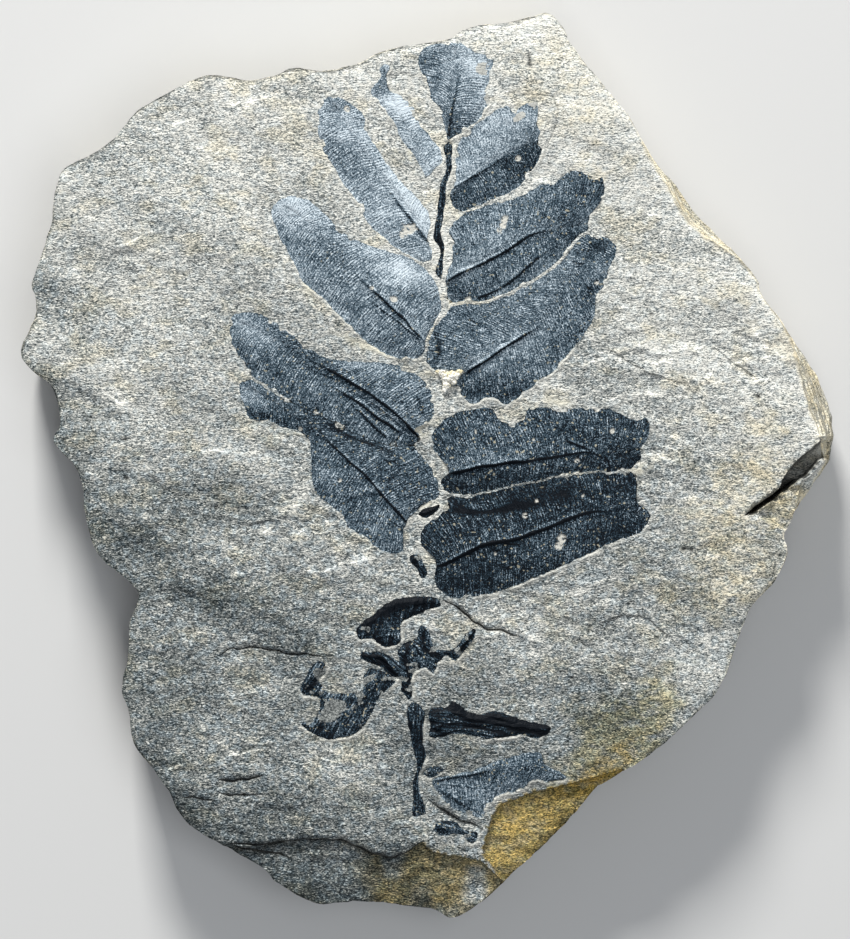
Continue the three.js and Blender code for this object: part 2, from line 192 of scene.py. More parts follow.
def inside(x, y, loop):
    """True for each place that lies inside a closed loop."""
    x, y = np.asarray(x), np.asarray(y)
    found = np.zeros(x.shape, bool)
    low, high = loop.min(0), loop.max(0)
    near = np.flatnonzero((x > low[0]) & (x < high[0]) & (y > low[1]) & (y < high[1]))
    px, py = x[near], y[near]
    result = np.zeros(near.shape, bool)
    for (ax, ay), (bx, by) in zip(loop, np.roll(loop, -1, 0)):
        if ay == by:
            continue
        crosses = (ay > py) != (by > py)
        result ^= crosses & (px < (bx - ax) * (py - ay) / (by - ay) + ax)
    found[near] = result
    return found


def nearest(places, x, y):
    """For each (x, y): the number of the nearest of `places`, and its distance."""
    tree = kdtree.KDTree(len(places))
    for number, place in enumerate(places):
        tree.insert((place[0], place[1], 0), number)
    tree.balance()
    hits = [tree.find((a, b, 0)) for a, b in zip(x, y)]
    return np.array([hit[1] for hit in hits], int), np.array([hit[2] for hit in hits])


# Where the face flakes most: place, half length, half width, turn in degrees and amount.
FLAKY_PLACES = [
    (-14.6, -10.6, 13, 6.5, 10, 0.8), (37, 14, 14, 6, 0, 0.9), (18, -24.5, 13, 6, -15, 0.6),
    (-22, -45.6, 18, 6, 0, 0.7), (-36, -18, 8, 10, 0, 0.3), (33, -2, 8, 5, 0, 0.5),
    (-15, 24, 4, 3, 0, 0.5), (-38, 10, 8, 10, -30, 0.3), (6, 59, 20, 3, 0, 0.3),
    (-20, -30, 14, 6, 10, 0.4), (36, -22, 8, 6, 40, 0.5), (17, 41, 8, 2, 20, 0.4),
]


def turned(x, y, turn):
    """Places measured along and across a direction that is `turn` degrees from X."""
    angle = math.radians(turn)
    along = x * math.cos(angle) + y * math.sin(angle)
    across = y * math.cos(angle) - x * math.sin(angle)
    return along, across


def ellipse(x, y, centre_x, centre_y, half_length, half_width, turn):
    """A soft patch, 1 at its middle and falling away to 0."""
    along, across = turned(x - centre_x, y - centre_y, turn)
    return np.exp(-((along / half_length) ** 2) - (across / half_width) ** 2)


def flakiness(x, y):
    """How much the bed flakes at each place, from 0 to 1."""
    found = 0.12 + 0.16 * ramp(y - 0.35 * x, 30, -4)
    for *where, amount in FLAKY_PLACES:
        found = found + amount * ellipse(x, y, *where)
    return np.clip(found, 0, 1)


def layer_at(x, y):
    """Which lamina lies open at each place: a whole number more at every scarp."""
    return 2.4 * (lumps(x, y + 0.25 * x, 17, 8, 5) + 0.6 * lumps(x, y - 0.3 * x, 6, 3.2, 6))


# Long rolls of the bed: height, length, width and seed. Then the height of one scarp.
ROLLS = [(0.4, 34, 13, 3), (0.26, 15, 6, 4)]
SCARP_HEIGHT = 0.19


def bedding(x, y):
    """Height of the bedding plane above or below the face height: long rolls and thin scarps."""
    x, y = np.asarray(x, float), np.asarray(y, float)
    along, across = 0.86 * x - 0.5 * y, 0.5 * x + 0.86 * y
    rolls = sum(height * lumps(along, across, *size) for height, *size in ROLLS)
    layers = layer_at(x, y)
    steps = np.floor(layers) + ramp(layers - np.floor(layers), 0.84, 1.0)
    return rolls + flakiness(x, y) * SCARP_HEIGHT * (steps - 0.75 * layers)


# Each film of the frond is outlined in the frame; the same outline cuts its bed in the stone.
# Leaflets have bites out of their edge; the stem is only ragged and the small pieces between.
FILM_SPACING = 0.12
SMALL_PIECES = [
    "leaflet_stub", "leaf_scrap", "curled_leaflet_top", "curled_leaflet_middle",
    "curled_leaflet_left", "lower_leaflet_1",
]


def film_outline(name):
    """The edge of one film, anticlockwise, from the top face of its solid in the frame."""
    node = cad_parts[name]
    solid = bmesh.new()
    solid.from_mesh(node.data)
    bmesh.ops.remove_doubles(solid, verts=solid.verts, dist=1e-6)
    top = [face for face in solid.faces if face.normal.z > 0.9]
    rim = {}
    for face in top:
        for loop in face.loops:
            others = [other for other in loop.edge.link_faces if other.normal.z > 0.9]
            if len(others) == 1:
                rim[loop.vert.index] = loop.link_loop_next.vert.index
    solid.verts.ensure_lookup_table()
    first = next(iter(rim))
    order = [first]
    while rim[order[-1]] != first:
        order.append(rim[order[-1]])
    points = [(solid.verts[index].co.x / MM, solid.verts[index].co.y / MM) for index in order]
    solid.free()
    curve = closed_curve(points, FILM_SPACING)
    x, y = curve.T
    ragged = 0.12 * lumps(x, y, 0.8, 0.8, 7) + 0.09 * lumps(x, y, 0.35, 0.35, 8)
    bites = 0.5 * ramp(lumps(x, y, 1.5, 1.5, 9), 0.4, 0.7)
    if "stem" in name:
        move = 0.7 * ragged - 0.02
    elif name in SMALL_PIECES:
        move = 0.8 * ragged - 0.3 * bites
    else:
        move = ragged - bites
    return curve + outward(curve) * move[:, None]


FILMS = [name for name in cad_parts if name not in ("shale_slab", "mineral_patch")]
margins = {name: film_outline(name) for name in sorted(FILMS)}

# Leaflets that lie edge to edge, and the thread of stone left between them.
TOUCHING = [
    ("left_leaflet_4", "left_leaflet_5", 0.04),
    ("right_leaflet_4", "right_leaflet_5", 0.2),
    ("right_leaflet_2", "right_leaflet_3", 0.36),
]
WIDEST_GAP = 2.6


def drawn_towards(margin, other, gap):
    """One margin moved half way over the narrow gap to another, where the two face each other."""
    number, distance = nearest(other, *margin.T)
    towards = (other[number] - margin) / (distance[:, None] + 1e-6)
    facing = ramp(np.sum(outward(margin) * towards, 1), 0.2, 0.6)
    facing *= ramp(distance, WIDEST_GAP, 0.6 * WIDEST_GAP)
    open_end = 0.3 * ramp(margin[:, 0], -18, -22)
    move = 0.5 * np.maximum(distance - gap - open_end, 0) * facing
    return margin + towards * move[:, None]


for first, second, gap in TOUCHING:
    pair = margins[first], margins[second]
    margins[first] = drawn_towards(pair[0], pair[1], gap)
    margins[second] = drawn_towards(pair[1], pair[0], gap)

# The seam between the two leaflets on the left that touch all the way.
seam_gap = nearest(margins["left_leaflet_5"], *margins["left_leaflet_4"].T)[1]
seam = margins["left_leaflet_4"][seam_gap < 0.2]

all_margins = np.vstack([margins[name] for name in sorted(FILMS)])
margin_out = np.vstack([outward(margins[name]) for name in sorted(FILMS)])

# Laminae missing from the face: the foot, the ochre terrace, the crevice on the right and the
# broken corner below it, each with its depth. The crevice and the corner drop sheer.
LOWER_TERRACE = np.array([
    [-28.6, -53.1], [-26.4, -53.5], [-24, -53.5], [-21, -52.9], [-18.1, -52.6], [-15.2, -52.5],
    [-12.5, -52.8], [-9.7, -53.9], [-7.6, -54.7], [-4.8, -55.2], [-2.5, -53.9], [-1, -52.9],
    [0.2, -54.2], [2.6, -54.8], [4.6, -55], [7.4, -55.6], [9.2, -57.4], [12, -60], [10, -68],
    [-20, -68], [-36, -60],
])
OCHRE_TERRACE = np.array([
    [22.4, -44], [19.6, -44.7], [17, -45.3], [14.6, -45.8], [12.4, -46.7], [10.2, -47.4],
    [9.1, -48.7], [8.4, -50.2], [7.9, -52.2], [7.4, -54], [7.8, -55.2], [9.2, -57.4],
    [12, -60], [20, -62], [34, -50], [27, -42.6],
])
CREVICE = np.array([
    [44.3, -7], [46, -5.9], [47.8, -4.6], [49, -3.4], [49.4, -2.2], [50.4, -0.6], [51.6, 0.7],
    [53.2, 2], [55.2, 3.7], [60, 3.4], [60, 0.6], [56.8, 1.4], [54.6, 0.4], [53, -1.6],
    [51.4, -2.7], [49.6, -3.8], [48, -5.2], [46, -6.5],
])
BROKEN_CORNER = np.array([
    [52, -2.4], [53.2, -1.8], [54.8, 0], [57, 1], [60, 0], [56, -8], [51.2, -6.6], [51.6, -4.6],
])
TONGUE = np.array([
    [44.3, -7.1], [46, -6.6], [48, -5.3], [49.6, -3.9], [51.4, -2.8], [52.3, -2.8], [51.5, -5.2],
    [51.4, -8], [54, -10], [50, -9.6], [47, -8.2],
])
HOLLOWS = [
    (LOWER_TERRACE, 1.1, 0.22),
    (OCHRE_TERRACE, 0.85, 0.3),
    (TONGUE, 0.7, 0.5),
    (CREVICE, 3.6, 0.35),
    (BROKEN_CORNER, 2.0, 0.4),
]

# Cracks and scarps drawn along the face: points, half width, depth of the groove, and how far
# the side on the right of the line drops.
CRACKS = [
    ([(-30, -27), (-27.7, -26), (-25.1, -25.6), (-23.5, -25.9), (-18.1, -26.7), (-14.6, -26.9)],
     0.13, 0.55, 0.1),
    ([(-29.8, -44.1), (-27.5, -44.4), (-25.6, -44.2), (-23, -43.5)], 0.15, 0.5, 0.1),
    ([(-34.5, -46.6), (-32.1, -46.8), (-29.8, -47.3)], 0.12, 0.4, 0.1),
    ([(-29.6, -45.9), (-28.2, -46.3), (-25.8, -46.4), (-23.5, -46.2)], 0.12, 0.45, 0.1),
    ([(1.8, -19.2), (4.3, -20.2), (5.7, -21.6), (7.8, -23), (10.3, -23.2), (12.9, -24.3)],
     0.17, 0.55, 0.15),
    ([(23.9, -22.1), (26.6, -21.4), (29.5, -21.1), (32.3, -23.2), (34.2, -24.8)], 0.1, 0.1, 0.22),
    ([(-0.3, -46.9), (1.4, -48.3), (2.6, -48.9), (4.3, -49.9), (7.4, -51.0)], 0.22, 0.45, 0.3),
    ([(-28.6, -53.1), (-24, -53.5), (-18.1, -52.6), (-12.5, -52.8), (-9.7, -53.9), (-7.6, -54.7),
      (-4.8, -55.2), (-2.5, -53.9), (-1, -52.9)], 0.2, 0.8, 0.05),
    ([(-28.2, -53.3), (-26.5, -53.9), (-23.7, -54.5), (-20.9, -54.8), (-19.1, -55.4)],
     0.14, 0.5, 0.2),
    ([(44.2, -7), (46.1, -6.1), (47.9, -4.9), (49.6, -3.6), (51.4, -2.4)], 0.3, 3.6, 0.0),
    ([(13.8, 57.6), (14.1, 56.4), (14.3, 55.2)], 0.22, 0.25, 0.0),
    ([(10.3, 50.4), (12.7, 51.4), (15.5, 51.8), (17.2, 51.4), (17.9, 49.8), (18, 47.5),
      (16.4, 44.2)], 0.12, 0.12, 0.0),
    ([(-25.8, -8.5), (-23.5, -8), (-20.9, -7.8)], 0.1, 0.08, 0.25),
    ([(25.3, 16), (30, 13.2), (33, 12), (35.7, 11.2)], 0.12, 0.05, 0.22),
    ([(39.3, 16.8), (43, 14), (46.3, 11.7)], 0.12, 0.05, 0.2),
]

# Broken edges of laminae that face the tip: points, rise behind the edge, how bright its painted highlight
# is.
CRESTS = [
    ([(-35.6, 1.3), (-32.8, 2), (-30, 2.1), (-26.8, 1.7), (-25.1, 1.3), (-23.5, 0.3),
      (-22.1, -0.8)], 0.1, 0.8),
    ([(-48.9, -1.1), (-46.8, -1.3), (-45.4, 0), (-43.3, 0.8), (-41.2, 1.3)], 0.1, 0.7),
    ([(-24.4, -10.1), (-23.5, -9.2), (-21.6, -8.5), (-20.7, -8.1)], 0.16, 1),
    ([(-21.6, -8.4), (-20.2, -7), (-18.7, -5.6), (-17.4, -4.6), (-16, -4.1)], 0.12, 0.7),
    ([(-20.5, -12.9), (-19.5, -11.9), (-18.4, -10.8), (-17.7, -9.9), (-16.7, -9.2)], 0.12, 0.8),
    ([(-19.5, -15.8), (-18.1, -15.3), (-16, -15.5), (-15.1, -15.1), (-13.9, -14.4), (-11.8, -13.9),
      (-10, -13.4), (-8.1, -12.9), (-6.2, -12.5)], 0.18, 1),
    ([(-39.1, -10.6), (-37.7, -9.5), (-36.1, -10.4), (-34.9, -10.6)], 0.1, 0.7),
    ([(-29.1, -25.8), (-27.7, -25.1), (-25.8, -24.8), (-24.4, -25.3)], 0.08, 0.6),
    ([(-20.9, -27.2), (-18.8, -27.3), (-16.7, -27.4)], 0.06, 0.7),
    ([(-29.8, -42.8), (-28.6, -41.4), (-27.2, -40.7), (-25.8, -41)], 0.1, 0.6),
    ([(-9, -38.9), (-7.2, -38.9), (-5.5, -38.6)], 0.06, 0.5),
    ([(-9.7, -42.3), (-7.6, -42), (-5.5, -41.7)], 0.06, 0.5),
    ([(44.2, 20.4), (46, 18.8), (47.4, 16.7), (49.1, 15.3), (50.5, 13.4)], 0.1, 0.9),
    ([(40.7, 14.1), (42.8, 14.3), (44.9, 14.8), (46, 15.4), (47.7, 15.1)], 0.12, 0.8),
    ([(29.6, 14.6), (31.6, 14.8), (33.4, 14.3), (35.1, 13.6)], 0.1, 0.9),
    ([(37.9, 10.6), (39, 11.8), (39.8, 13.2), (40.3, 13.6)], 0.1, 0.8),
    ([(21.8, 9.5), (25.3, 9.2), (29.5, 9.5), (35.1, 9.5), (39.3, 9.7)], 0.08, 0.6),
    ([(20.4, 12.9), (21.8, 13.7), (23.9, 14.6), (25.6, 15.7)], 0.1, 0.6),
    ([(29.5, 0.6), (31.6, 0.3), (33.4, 0.8), (34.8, 1.1)], 0.06, 0.6),
    ([(31.6, -2), (33.4, -2.5), (35.1, -3.4), (36.5, -4.6), (37.9, -5.5), (39.6, -6.2),
      (41, -6.3)], 0.08, 0.5),
    ([(37.9, -2.7), (39.6, -2.2), (41, -3.2)], 0.06, 0.5),
    ([(35.5, -11.6), (36.8, -11.1), (38.6, -10.2), (40, -9.7)], 0.14, 0.9),
    ([(23.9, -18.5), (26, -19.3), (27.4, -19.7), (28.8, -20.4)], 0.1, 0.8),
    ([(36.5, -24.6), (37.6, -24.1), (38.7, -24.6), (39.6, -25.3), (41, -24.6)], 0.12, 0.9),
    ([(37.9, -22.1), (40.7, -19.3), (42.8, -17.6), (45.6, -15.1), (48.4, -13.7)], 0.16, 0.7),
    ([(-39.1, 46.3), (-37, 47), (-35.2, 47.6), (-33.8, 47.9)], 0.1, 0.9),
    ([(-28.6, 50), (-26.5, 50.5), (-24.4, 51), (-21.6, 51.4)], 0.1, 0.9),
    ([(-45.7, 30.5), (-44, 30.8), (-42.2, 31.4), (-39.8, 31.9)], 0.12, 0.7),
    ([(-43.3, 29), (-41.2, 28.3), (-39.4, 27.4), (-38, 26.6), (-36.6, 25.5)], 0.08, 0.7),
    ([(-53.1, 12.9), (-51.7, 13.7), (-49.6, 14.3), (-46.8, 14.8)], 0.1, 0.6),
    ([(-46.1, 10.6), (-44.7, 9.5), (-43.6, 8.7), (-42.2, 7.8)], 0.1, 0.7),
    ([(-30.7, 38.4), (-28.6, 38.1), (-26.5, 38.4)], 0.06, 0.5),
    ([(-27.7, 4.8), (-25.1, 5), (-22.3, 4.5), (-19.5, 3.4), (-18.1, 2)], 0.06, 0.5),
    ([(18.3, -19), (21.1, -17.9), (23.9, -16.7), (26.7, -15.5)], 0.08, 0.6),
    ([(7.1, -24.6), (9.9, -23.5), (12.7, -23.2), (16.2, -24.1)], 0.08, 0.6),
    ([(18.3, -24.6), (20.4, -25.8), (22.5, -26)], 0.08, 0.5),
    ([(25.3, -33), (27.4, -31.6), (30.2, -31.1)], 0.06, 0.4),
    ([(-13.9, -13.4), (-11.8, -11.3), (-9.7, -10.4)], 0.08, 0.5),
    ([(-37.7, -16.9), (-34.9, -15.5), (-32.1, -16), (-30, -14.8)], 0.08, 0.5),
    ([(-28.6, -33), (-26.5, -31.6), (-23.5, -31.4), (-20.9, -32.5)], 0.08, 0.5),
]

# Shallow troughs between the rolls of the bed: points, half width, depth.
SWALES = [
    ([(-40.5, -2), (-38.4, -3.2), (-36.3, -3.9), (-34.2, -4.9), (-32.6, -5.7)], 1, 0.17),
    ([(-32.1, -8.5), (-30, -9.5), (-27.9, -10.4), (-25.8, -11.6), (-24.4, -12.6)], 1.1, 0.2),
    ([(-37.7, -26.3), (-35.6, -27.2), (-33.5, -27.7), (-31.4, -28.3)], 1, 0.15),
    ([(-28.6, -30.2), (-26.5, -30.5), (-24.4, -30.9), (-22.6, -31.6)], 0.9, 0.15),
    ([(-37, -18.8), (-34.2, -19), (-31.4, -19.6)], 0.7, 0.12),
    ([(-39.1, -42.1), (-37, -42.6), (-34.2, -43.1), (-31.4, -44)], 1.2, 0.18),
    ([(-20.9, -19), (-18.1, -20.7), (-15.3, -22.1), (-11.8, -23.2)], 1.2, 0.15),
    ([(-44.7, 29), (-42.6, 29.1), (-40.8, 29.1)], 0.7, 0.14),
    ([(-30.5, 24.4), (-28.6, 23.7), (-26.5, 23.4)], 0.8, 0.13),
    ([(-51.7, 27.4), (-48.9, 28.3), (-46.1, 29.1)], 0.9, 0.12),
    ([(18.3, -21.6), (21.1, -23), (23.9, -23.8), (26.7, -23.2)], 1.1, 0.18),
    ([(35.1, -12.3), (37.9, -12), (40.7, -11.8)], 0.8, 0.14),
    ([(29.5, 12.9), (31.6, 11.2), (33.7, 10.6)], 0.9, 0.14),
    ([(37.9, 23), (40.7, 20.9), (43.5, 18.1), (45.6, 15.7)], 1.2, 0.16),
    ([(32.3, -26), (36.5, -27.4), (40, -27.7)], 1.3, 0.15),
    ([(-47.5, -7.8), (-44.7, -9.2), (-41.9, -11.3), (-39.1, -13.4)], 1.3, 0.14),
    ([(-51.7, 7.6), (-48.9, 9), (-46.1, 8.3), (-41.9, 5.5)], 1.2, 0.12),
    ([(1.5, -31.6), (7.1, -33), (12.7, -32.2), (18.3, -31.6)], 1.4, 0.12),
    ([(-34.9, -33), (-32.1, -35.1), (-28.6, -36.1), (-25.1, -37.2)], 1.3, 0.14),
]
SWALE_DEPTH = 1.7
CRACK_STEP = 0.18


def wandering(points, waves):
    """A path that wanders to either side of the points, the way to its right, and the share of
    its length at each place. Each wave is a reach, a length and a seed."""
    path = even_steps(points, CRACK_STEP)
    side = sideways(path)
    wander = sum(reach * lumps(*path.T, length, length, seed) for reach, length, seed in waves)
    return path + side * wander[:, None], side, np.linspace(0, 1, len(path))


def crack_places():
    """Every crack as close places, with the side vector, half width, depth and drop of each."""
    rows = []
    for points, half_width, depth, drop in CRACKS:
        path, sides, share = wandering(points, [(0.22, 1.3, 21)])
        strength = np.clip(5 * np.minimum(share, 1 - share), 0.06, 1) ** 0.6
        strength = strength * (1 + 0.35 * lumps(*path.T, 1.7, 1.7, 22))
        for place, side, force in zip(path, sides, strength):
            rows.append((*place, *side, half_width * force, depth * force, drop * min(force, 1)))
    return np.array(rows)


def line_places(lines):
    """Lines over the face as close places, with the side vector and the two amounts of each."""
    rows = []
    for points, first, second in lines:
        path, sides, share = wandering(points, [(0.5, 3.2, 23), (0.3, 0.9, 24)])
        strength = np.clip(4 * np.minimum(share, 1 - share), 0.03, 1)
        for place, side, force in zip(path, sides, strength):
            rows.append((*place, *side, first, second, force))
    return np.array(rows)


def side_of(places, number, x, y):
    """How far each (x, y) lies to the right of the line, at its nearest place."""
    return places[number, 2] * (x - places[number, 0]) + places[number, 3] * (y - places[number, 1])


cracks = crack_places()
crest_lines = line_places(CRESTS)
swales = line_places(SWALES)

PITS = [
    (-42.6, 3.4, 0.45), (-42.5, -2, 0.4), (46, 9.4, 0.4), (-32.8, -7.1, 0.35), (-30, -6, 0.4),
    (35.8, -11.9, 0.4), (36.6, -12.1, 0.3), (-28, 27, 0.2), (31, 21, 0.25), (20, -30, 0.25),
]
BED_DEPTH = 0.75
LIP_HEIGHT = 0.16


def stone_face(x, y):
    """Height of the stone over the face height, how much painted shade it gets in a crack, pit,
    seam or the crevice (0 to 1), and how near it is to a lip of stone that stands along the edge of a
    film (0 to 1), which also sets the lip's painted highlight."""
    height = bedding(x, y)
    rough = flakiness(x, y)
    crests = 1 - np.abs(lumps(x, y + 0.3 * x, 4.2, 2.4, 11)) * 2
    fine_crests = 1 - np.abs(lumps(x, y - 0.2 * x, 1.9, 1.2, 12)) * 2
    height = height + (0.4 + 0.8 * rough) * (0.14 * crests + 0.075 * fine_crests)
    height = height + 0.03 * lumps(x, y, 1.0, 0.8, 15)
    hollow_shade = np.zeros(len(x))
    for outline, depth, run in HOLLOWS:
        loop = even_steps(np.vstack([outline, outline[:1]]), 0.15)
        inner = inside(x, y, outline)
        chosen = np.flatnonzero(inner)
        distance = nearest(loop, x[chosen], y[chosen])[1]
        broken = 1 + 0.3 * lumps(x[chosen], y[chosen], 2.2, 1.4, 13)
        height[chosen] -= depth * ramp(distance, 0, run) * broken
    # The crevice gets painted shade, deeper in some streaks than others.
    crevice_shade = 0.6 + 0.35 * lumps(0.75 * x + 0.66 * y, 0.66 * x - 0.75 * y, 6, 0.5, 17)
    hollow_shade = np.maximum(hollow_shade, inside(x, y, CREVICE) * np.clip(crevice_shade, 0.2, 0.95))
    number, distance = nearest(swales[:, :2], x, y)
    trough = np.exp(-((distance / swales[number, 4]) ** 2))
    height -= SWALE_DEPTH * swales[number, 6] * swales[number, 5] * trough
    number, distance = nearest(crest_lines[:, :2], x, y)
    behind = ramp(side_of(crest_lines, number, x, y), -0.08, 0.08) * np.exp(-distance / 1.4)
    height += crest_lines[number, 6] * crest_lines[number, 4] * behind
    number, distance = nearest(cracks[:, :2], x, y)
    groove = np.exp(-((distance / cracks[number, 4]) ** 2))
    height -= cracks[number, 5] * groove
    height -= cracks[number, 6] * (side_of(cracks, number, x, y) > 0) * np.exp(-distance / 3.0)
    # A crack's groove gets painted shade, more where it is deep.
    hollow_shade = np.maximum(hollow_shade, groove * np.clip(cracks[number, 5] / 0.4, 0, 1))
    # Each pit is dented and gets painted shade.
    for pit_x, pit_y, radius in PITS:
        dent = np.exp(-(((x - pit_x) / radius) ** 2 + ((y - pit_y) / (0.7 * radius)) ** 2))
        height -= 0.35 * dent
        hollow_shade = np.maximum(hollow_shade, dent)
    number, distance = nearest(all_margins, x, y)
    facing = ramp(margin_out[number] @ np.array([0.35, -0.94]), -0.2, 0.7)
    ridge = np.exp(-(((distance - 0.2) / 0.22) ** 2)) * (0.12 + 0.88 * facing)
    ridge = ridge * ramp(lumps(x, y, 5, 5, 14) + 0.5 * lumps(x, y, 1.6, 1.6, 16), -0.5, 0.6)
    height += LIP_HEIGHT * ridge
    # The seam between the two leaflets on the left is sunk and gets painted shade.
    in_seam = (nearest(seam, x, y)[1] < 0.25)
    height -= 0.3 * in_seam
    hollow_shade = np.maximum(hollow_shade, 0.9 * in_seam)
    ridge = ridge * ~in_seam
    return height, hollow_shade, ridge


# The wide slopes on the right-hand rim: middle and half span in degrees round the slab, width.
BEVELS = [(43, 17, 1.9), (9, 14, 3.2)]
RING_SPACING = 0.5
WIDEST_LEVEL = 0.42


def bevel_width(degrees):
    """How wide the slope on the rim is, at angles round the slab."""
    width = np.zeros(len(degrees))
    for middle, half_span, widest in BEVELS:
        offset = np.clip(np.abs(degrees - middle) / half_span, 0, 1)
        width += widest * 0.5 * (1 + np.cos(np.pi * offset))
    return width


def widest_ring():
    """The rim of the slab where it is widest, anticlockwise, from its solid in the frame."""
    level = WIDEST_LEVEL * FACE_HEIGHT
    found = set()
    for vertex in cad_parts["shale_slab"].data.vertices:
        if abs(vertex.co.z / MM - level) < 0.02:
            found.add((round(vertex.co.x / MM, 2), round(vertex.co.y / MM, 2)))
    corners = sorted(found, key=lambda corner: math.atan2(corner[1], corner[0]))
    return closed_curve(corners, RING_SPACING)


rim = widest_ring()
rim_degrees = np.degrees(np.arctan2(rim[:, 1], rim[:, 0]))
rim_radius = np.hypot(rim[:, 0], rim[:, 1])
rim_bevel = bevel_width(rim_degrees)


def ring_at(inset):
    """The rim moved in towards the middle of the slab by `inset`."""
    return rim * (1 - inset / rim_radius)[:, None]


chips = 0.16 * lumps(*rim.T, 2.1, 2.1, 31) + 0.1 * lumps(*rim.T, 0.8, 0.8, 32)
top_ring = ring_at(0.3 + rim_bevel + chips)

NET_SPACING = 0.43
FEATURE_GAP = 0.2


def face_places():
    """The places of the fine net over the face: rows of a jittered net, with places exactly on
    every crack, every ledge and every film's edge, and few of them under the films."""
    rng = np.random.default_rng(41)
    low, high = top_ring.min(0), top_ring.max(0)
    rows = np.arange(low[1], high[1], NET_SPACING * 0.87)
    columns = np.arange(low[0], high[0], NET_SPACING)
    x, y = np.meshgrid(columns, rows)
    x = x + (np.arange(len(rows)) % 2 * NET_SPACING / 2)[:, None]
    x = (x + rng.uniform(-0.1, 0.1, x.shape)).ravel()
    y = (y + rng.uniform(-0.1, 0.1, y.shape)).ravel()
    drawn = [cracks[:, :2]]
    for sign in (1, -1):
        drawn.append(crest_lines[:, :2] + sign * 0.1 * crest_lines[:, 2:4])
    for sign in (-1, 1):
        drawn.append(cracks[:, :2] + sign * cracks[:, 2:4] * np.maximum(cracks[:, 4:5], 0.1))
    for outline, depth, run in HOLLOWS:
        loop = even_steps(np.vstack([outline, outline[:1]]), 0.3)
        inward = sideways(loop)
        flip = 1 if inside(*(loop + 0.05 * inward).T, outline).mean() > 0.5 else -1
        drawn.append(loop)
        drawn.append(loop + flip * run * inward)
    drawn = np.vstack(drawn)
    away = nearest(all_margins, *drawn.T)[1] > 0.45
    drawn = drawn[away]
    edges = np.vstack([all_margins[::2], (all_margins + 0.24 * margin_out)[::3]])
    bed = (all_margins - 0.13 * margin_out)[::2]
    keep = nearest(np.vstack([drawn, edges, bed]), x, y)[1] > FEATURE_GAP
    x, y = x[keep], y[keep]
    covered = np.zeros(len(x), bool)
    for name in sorted(FILMS):
        covered |= inside(x, y, margins[name])
    deep = covered & (nearest(all_margins, x, y)[1] > 0.3)
    sparse = rng.uniform(0, 1, len(x)) < 0.1
    chosen = ~deep | sparse
    places = np.vstack([np.column_stack([x, y])[chosen], drawn, edges, bed])
    in_ring = inside(*places.T, top_ring)
    clear = nearest(top_ring, *places.T)[1] > 0.22
    return places[in_ring & clear]


def triangles_inside(ring, places):
    """A net of triangles over a ring and the places inside it. The ring's corners come first."""
    points = [Vector(place) for place in np.vstack([ring, places])]
    found = geometry.delaunay_2d_cdt(points, [], [list(range(len(ring)))], 1, 1e-5)
    corners, faces, origins = found[0], found[2], found[3]
    order = {}
    for number, sources in enumerate(origins):
        for source in sources:
            order[source] = number
    ring_numbers = [order[number] for number in range(len(ring))]
    return np.array([corner[:] for corner in corners]), faces, ring_numbers


# The rim from the underside (0) to the face (1): how far it stands in, and how much of the
# slope's width is used up. Each lamina is a share of the slab's thickness between these two.
RIM_INSETS = ([0, 0.2, 0.42, 0.55, 0.78, 1], [1.4, 0.5, 0.05, 0.15, 0.2, 0.3])
RIM_SLOPES = ([0, 0.42, 0.55, 0.78, 1], [0.2, 0, 0.3, 0.68, 0.97])
LAMINA_SHARES = (0.03, 0.085)


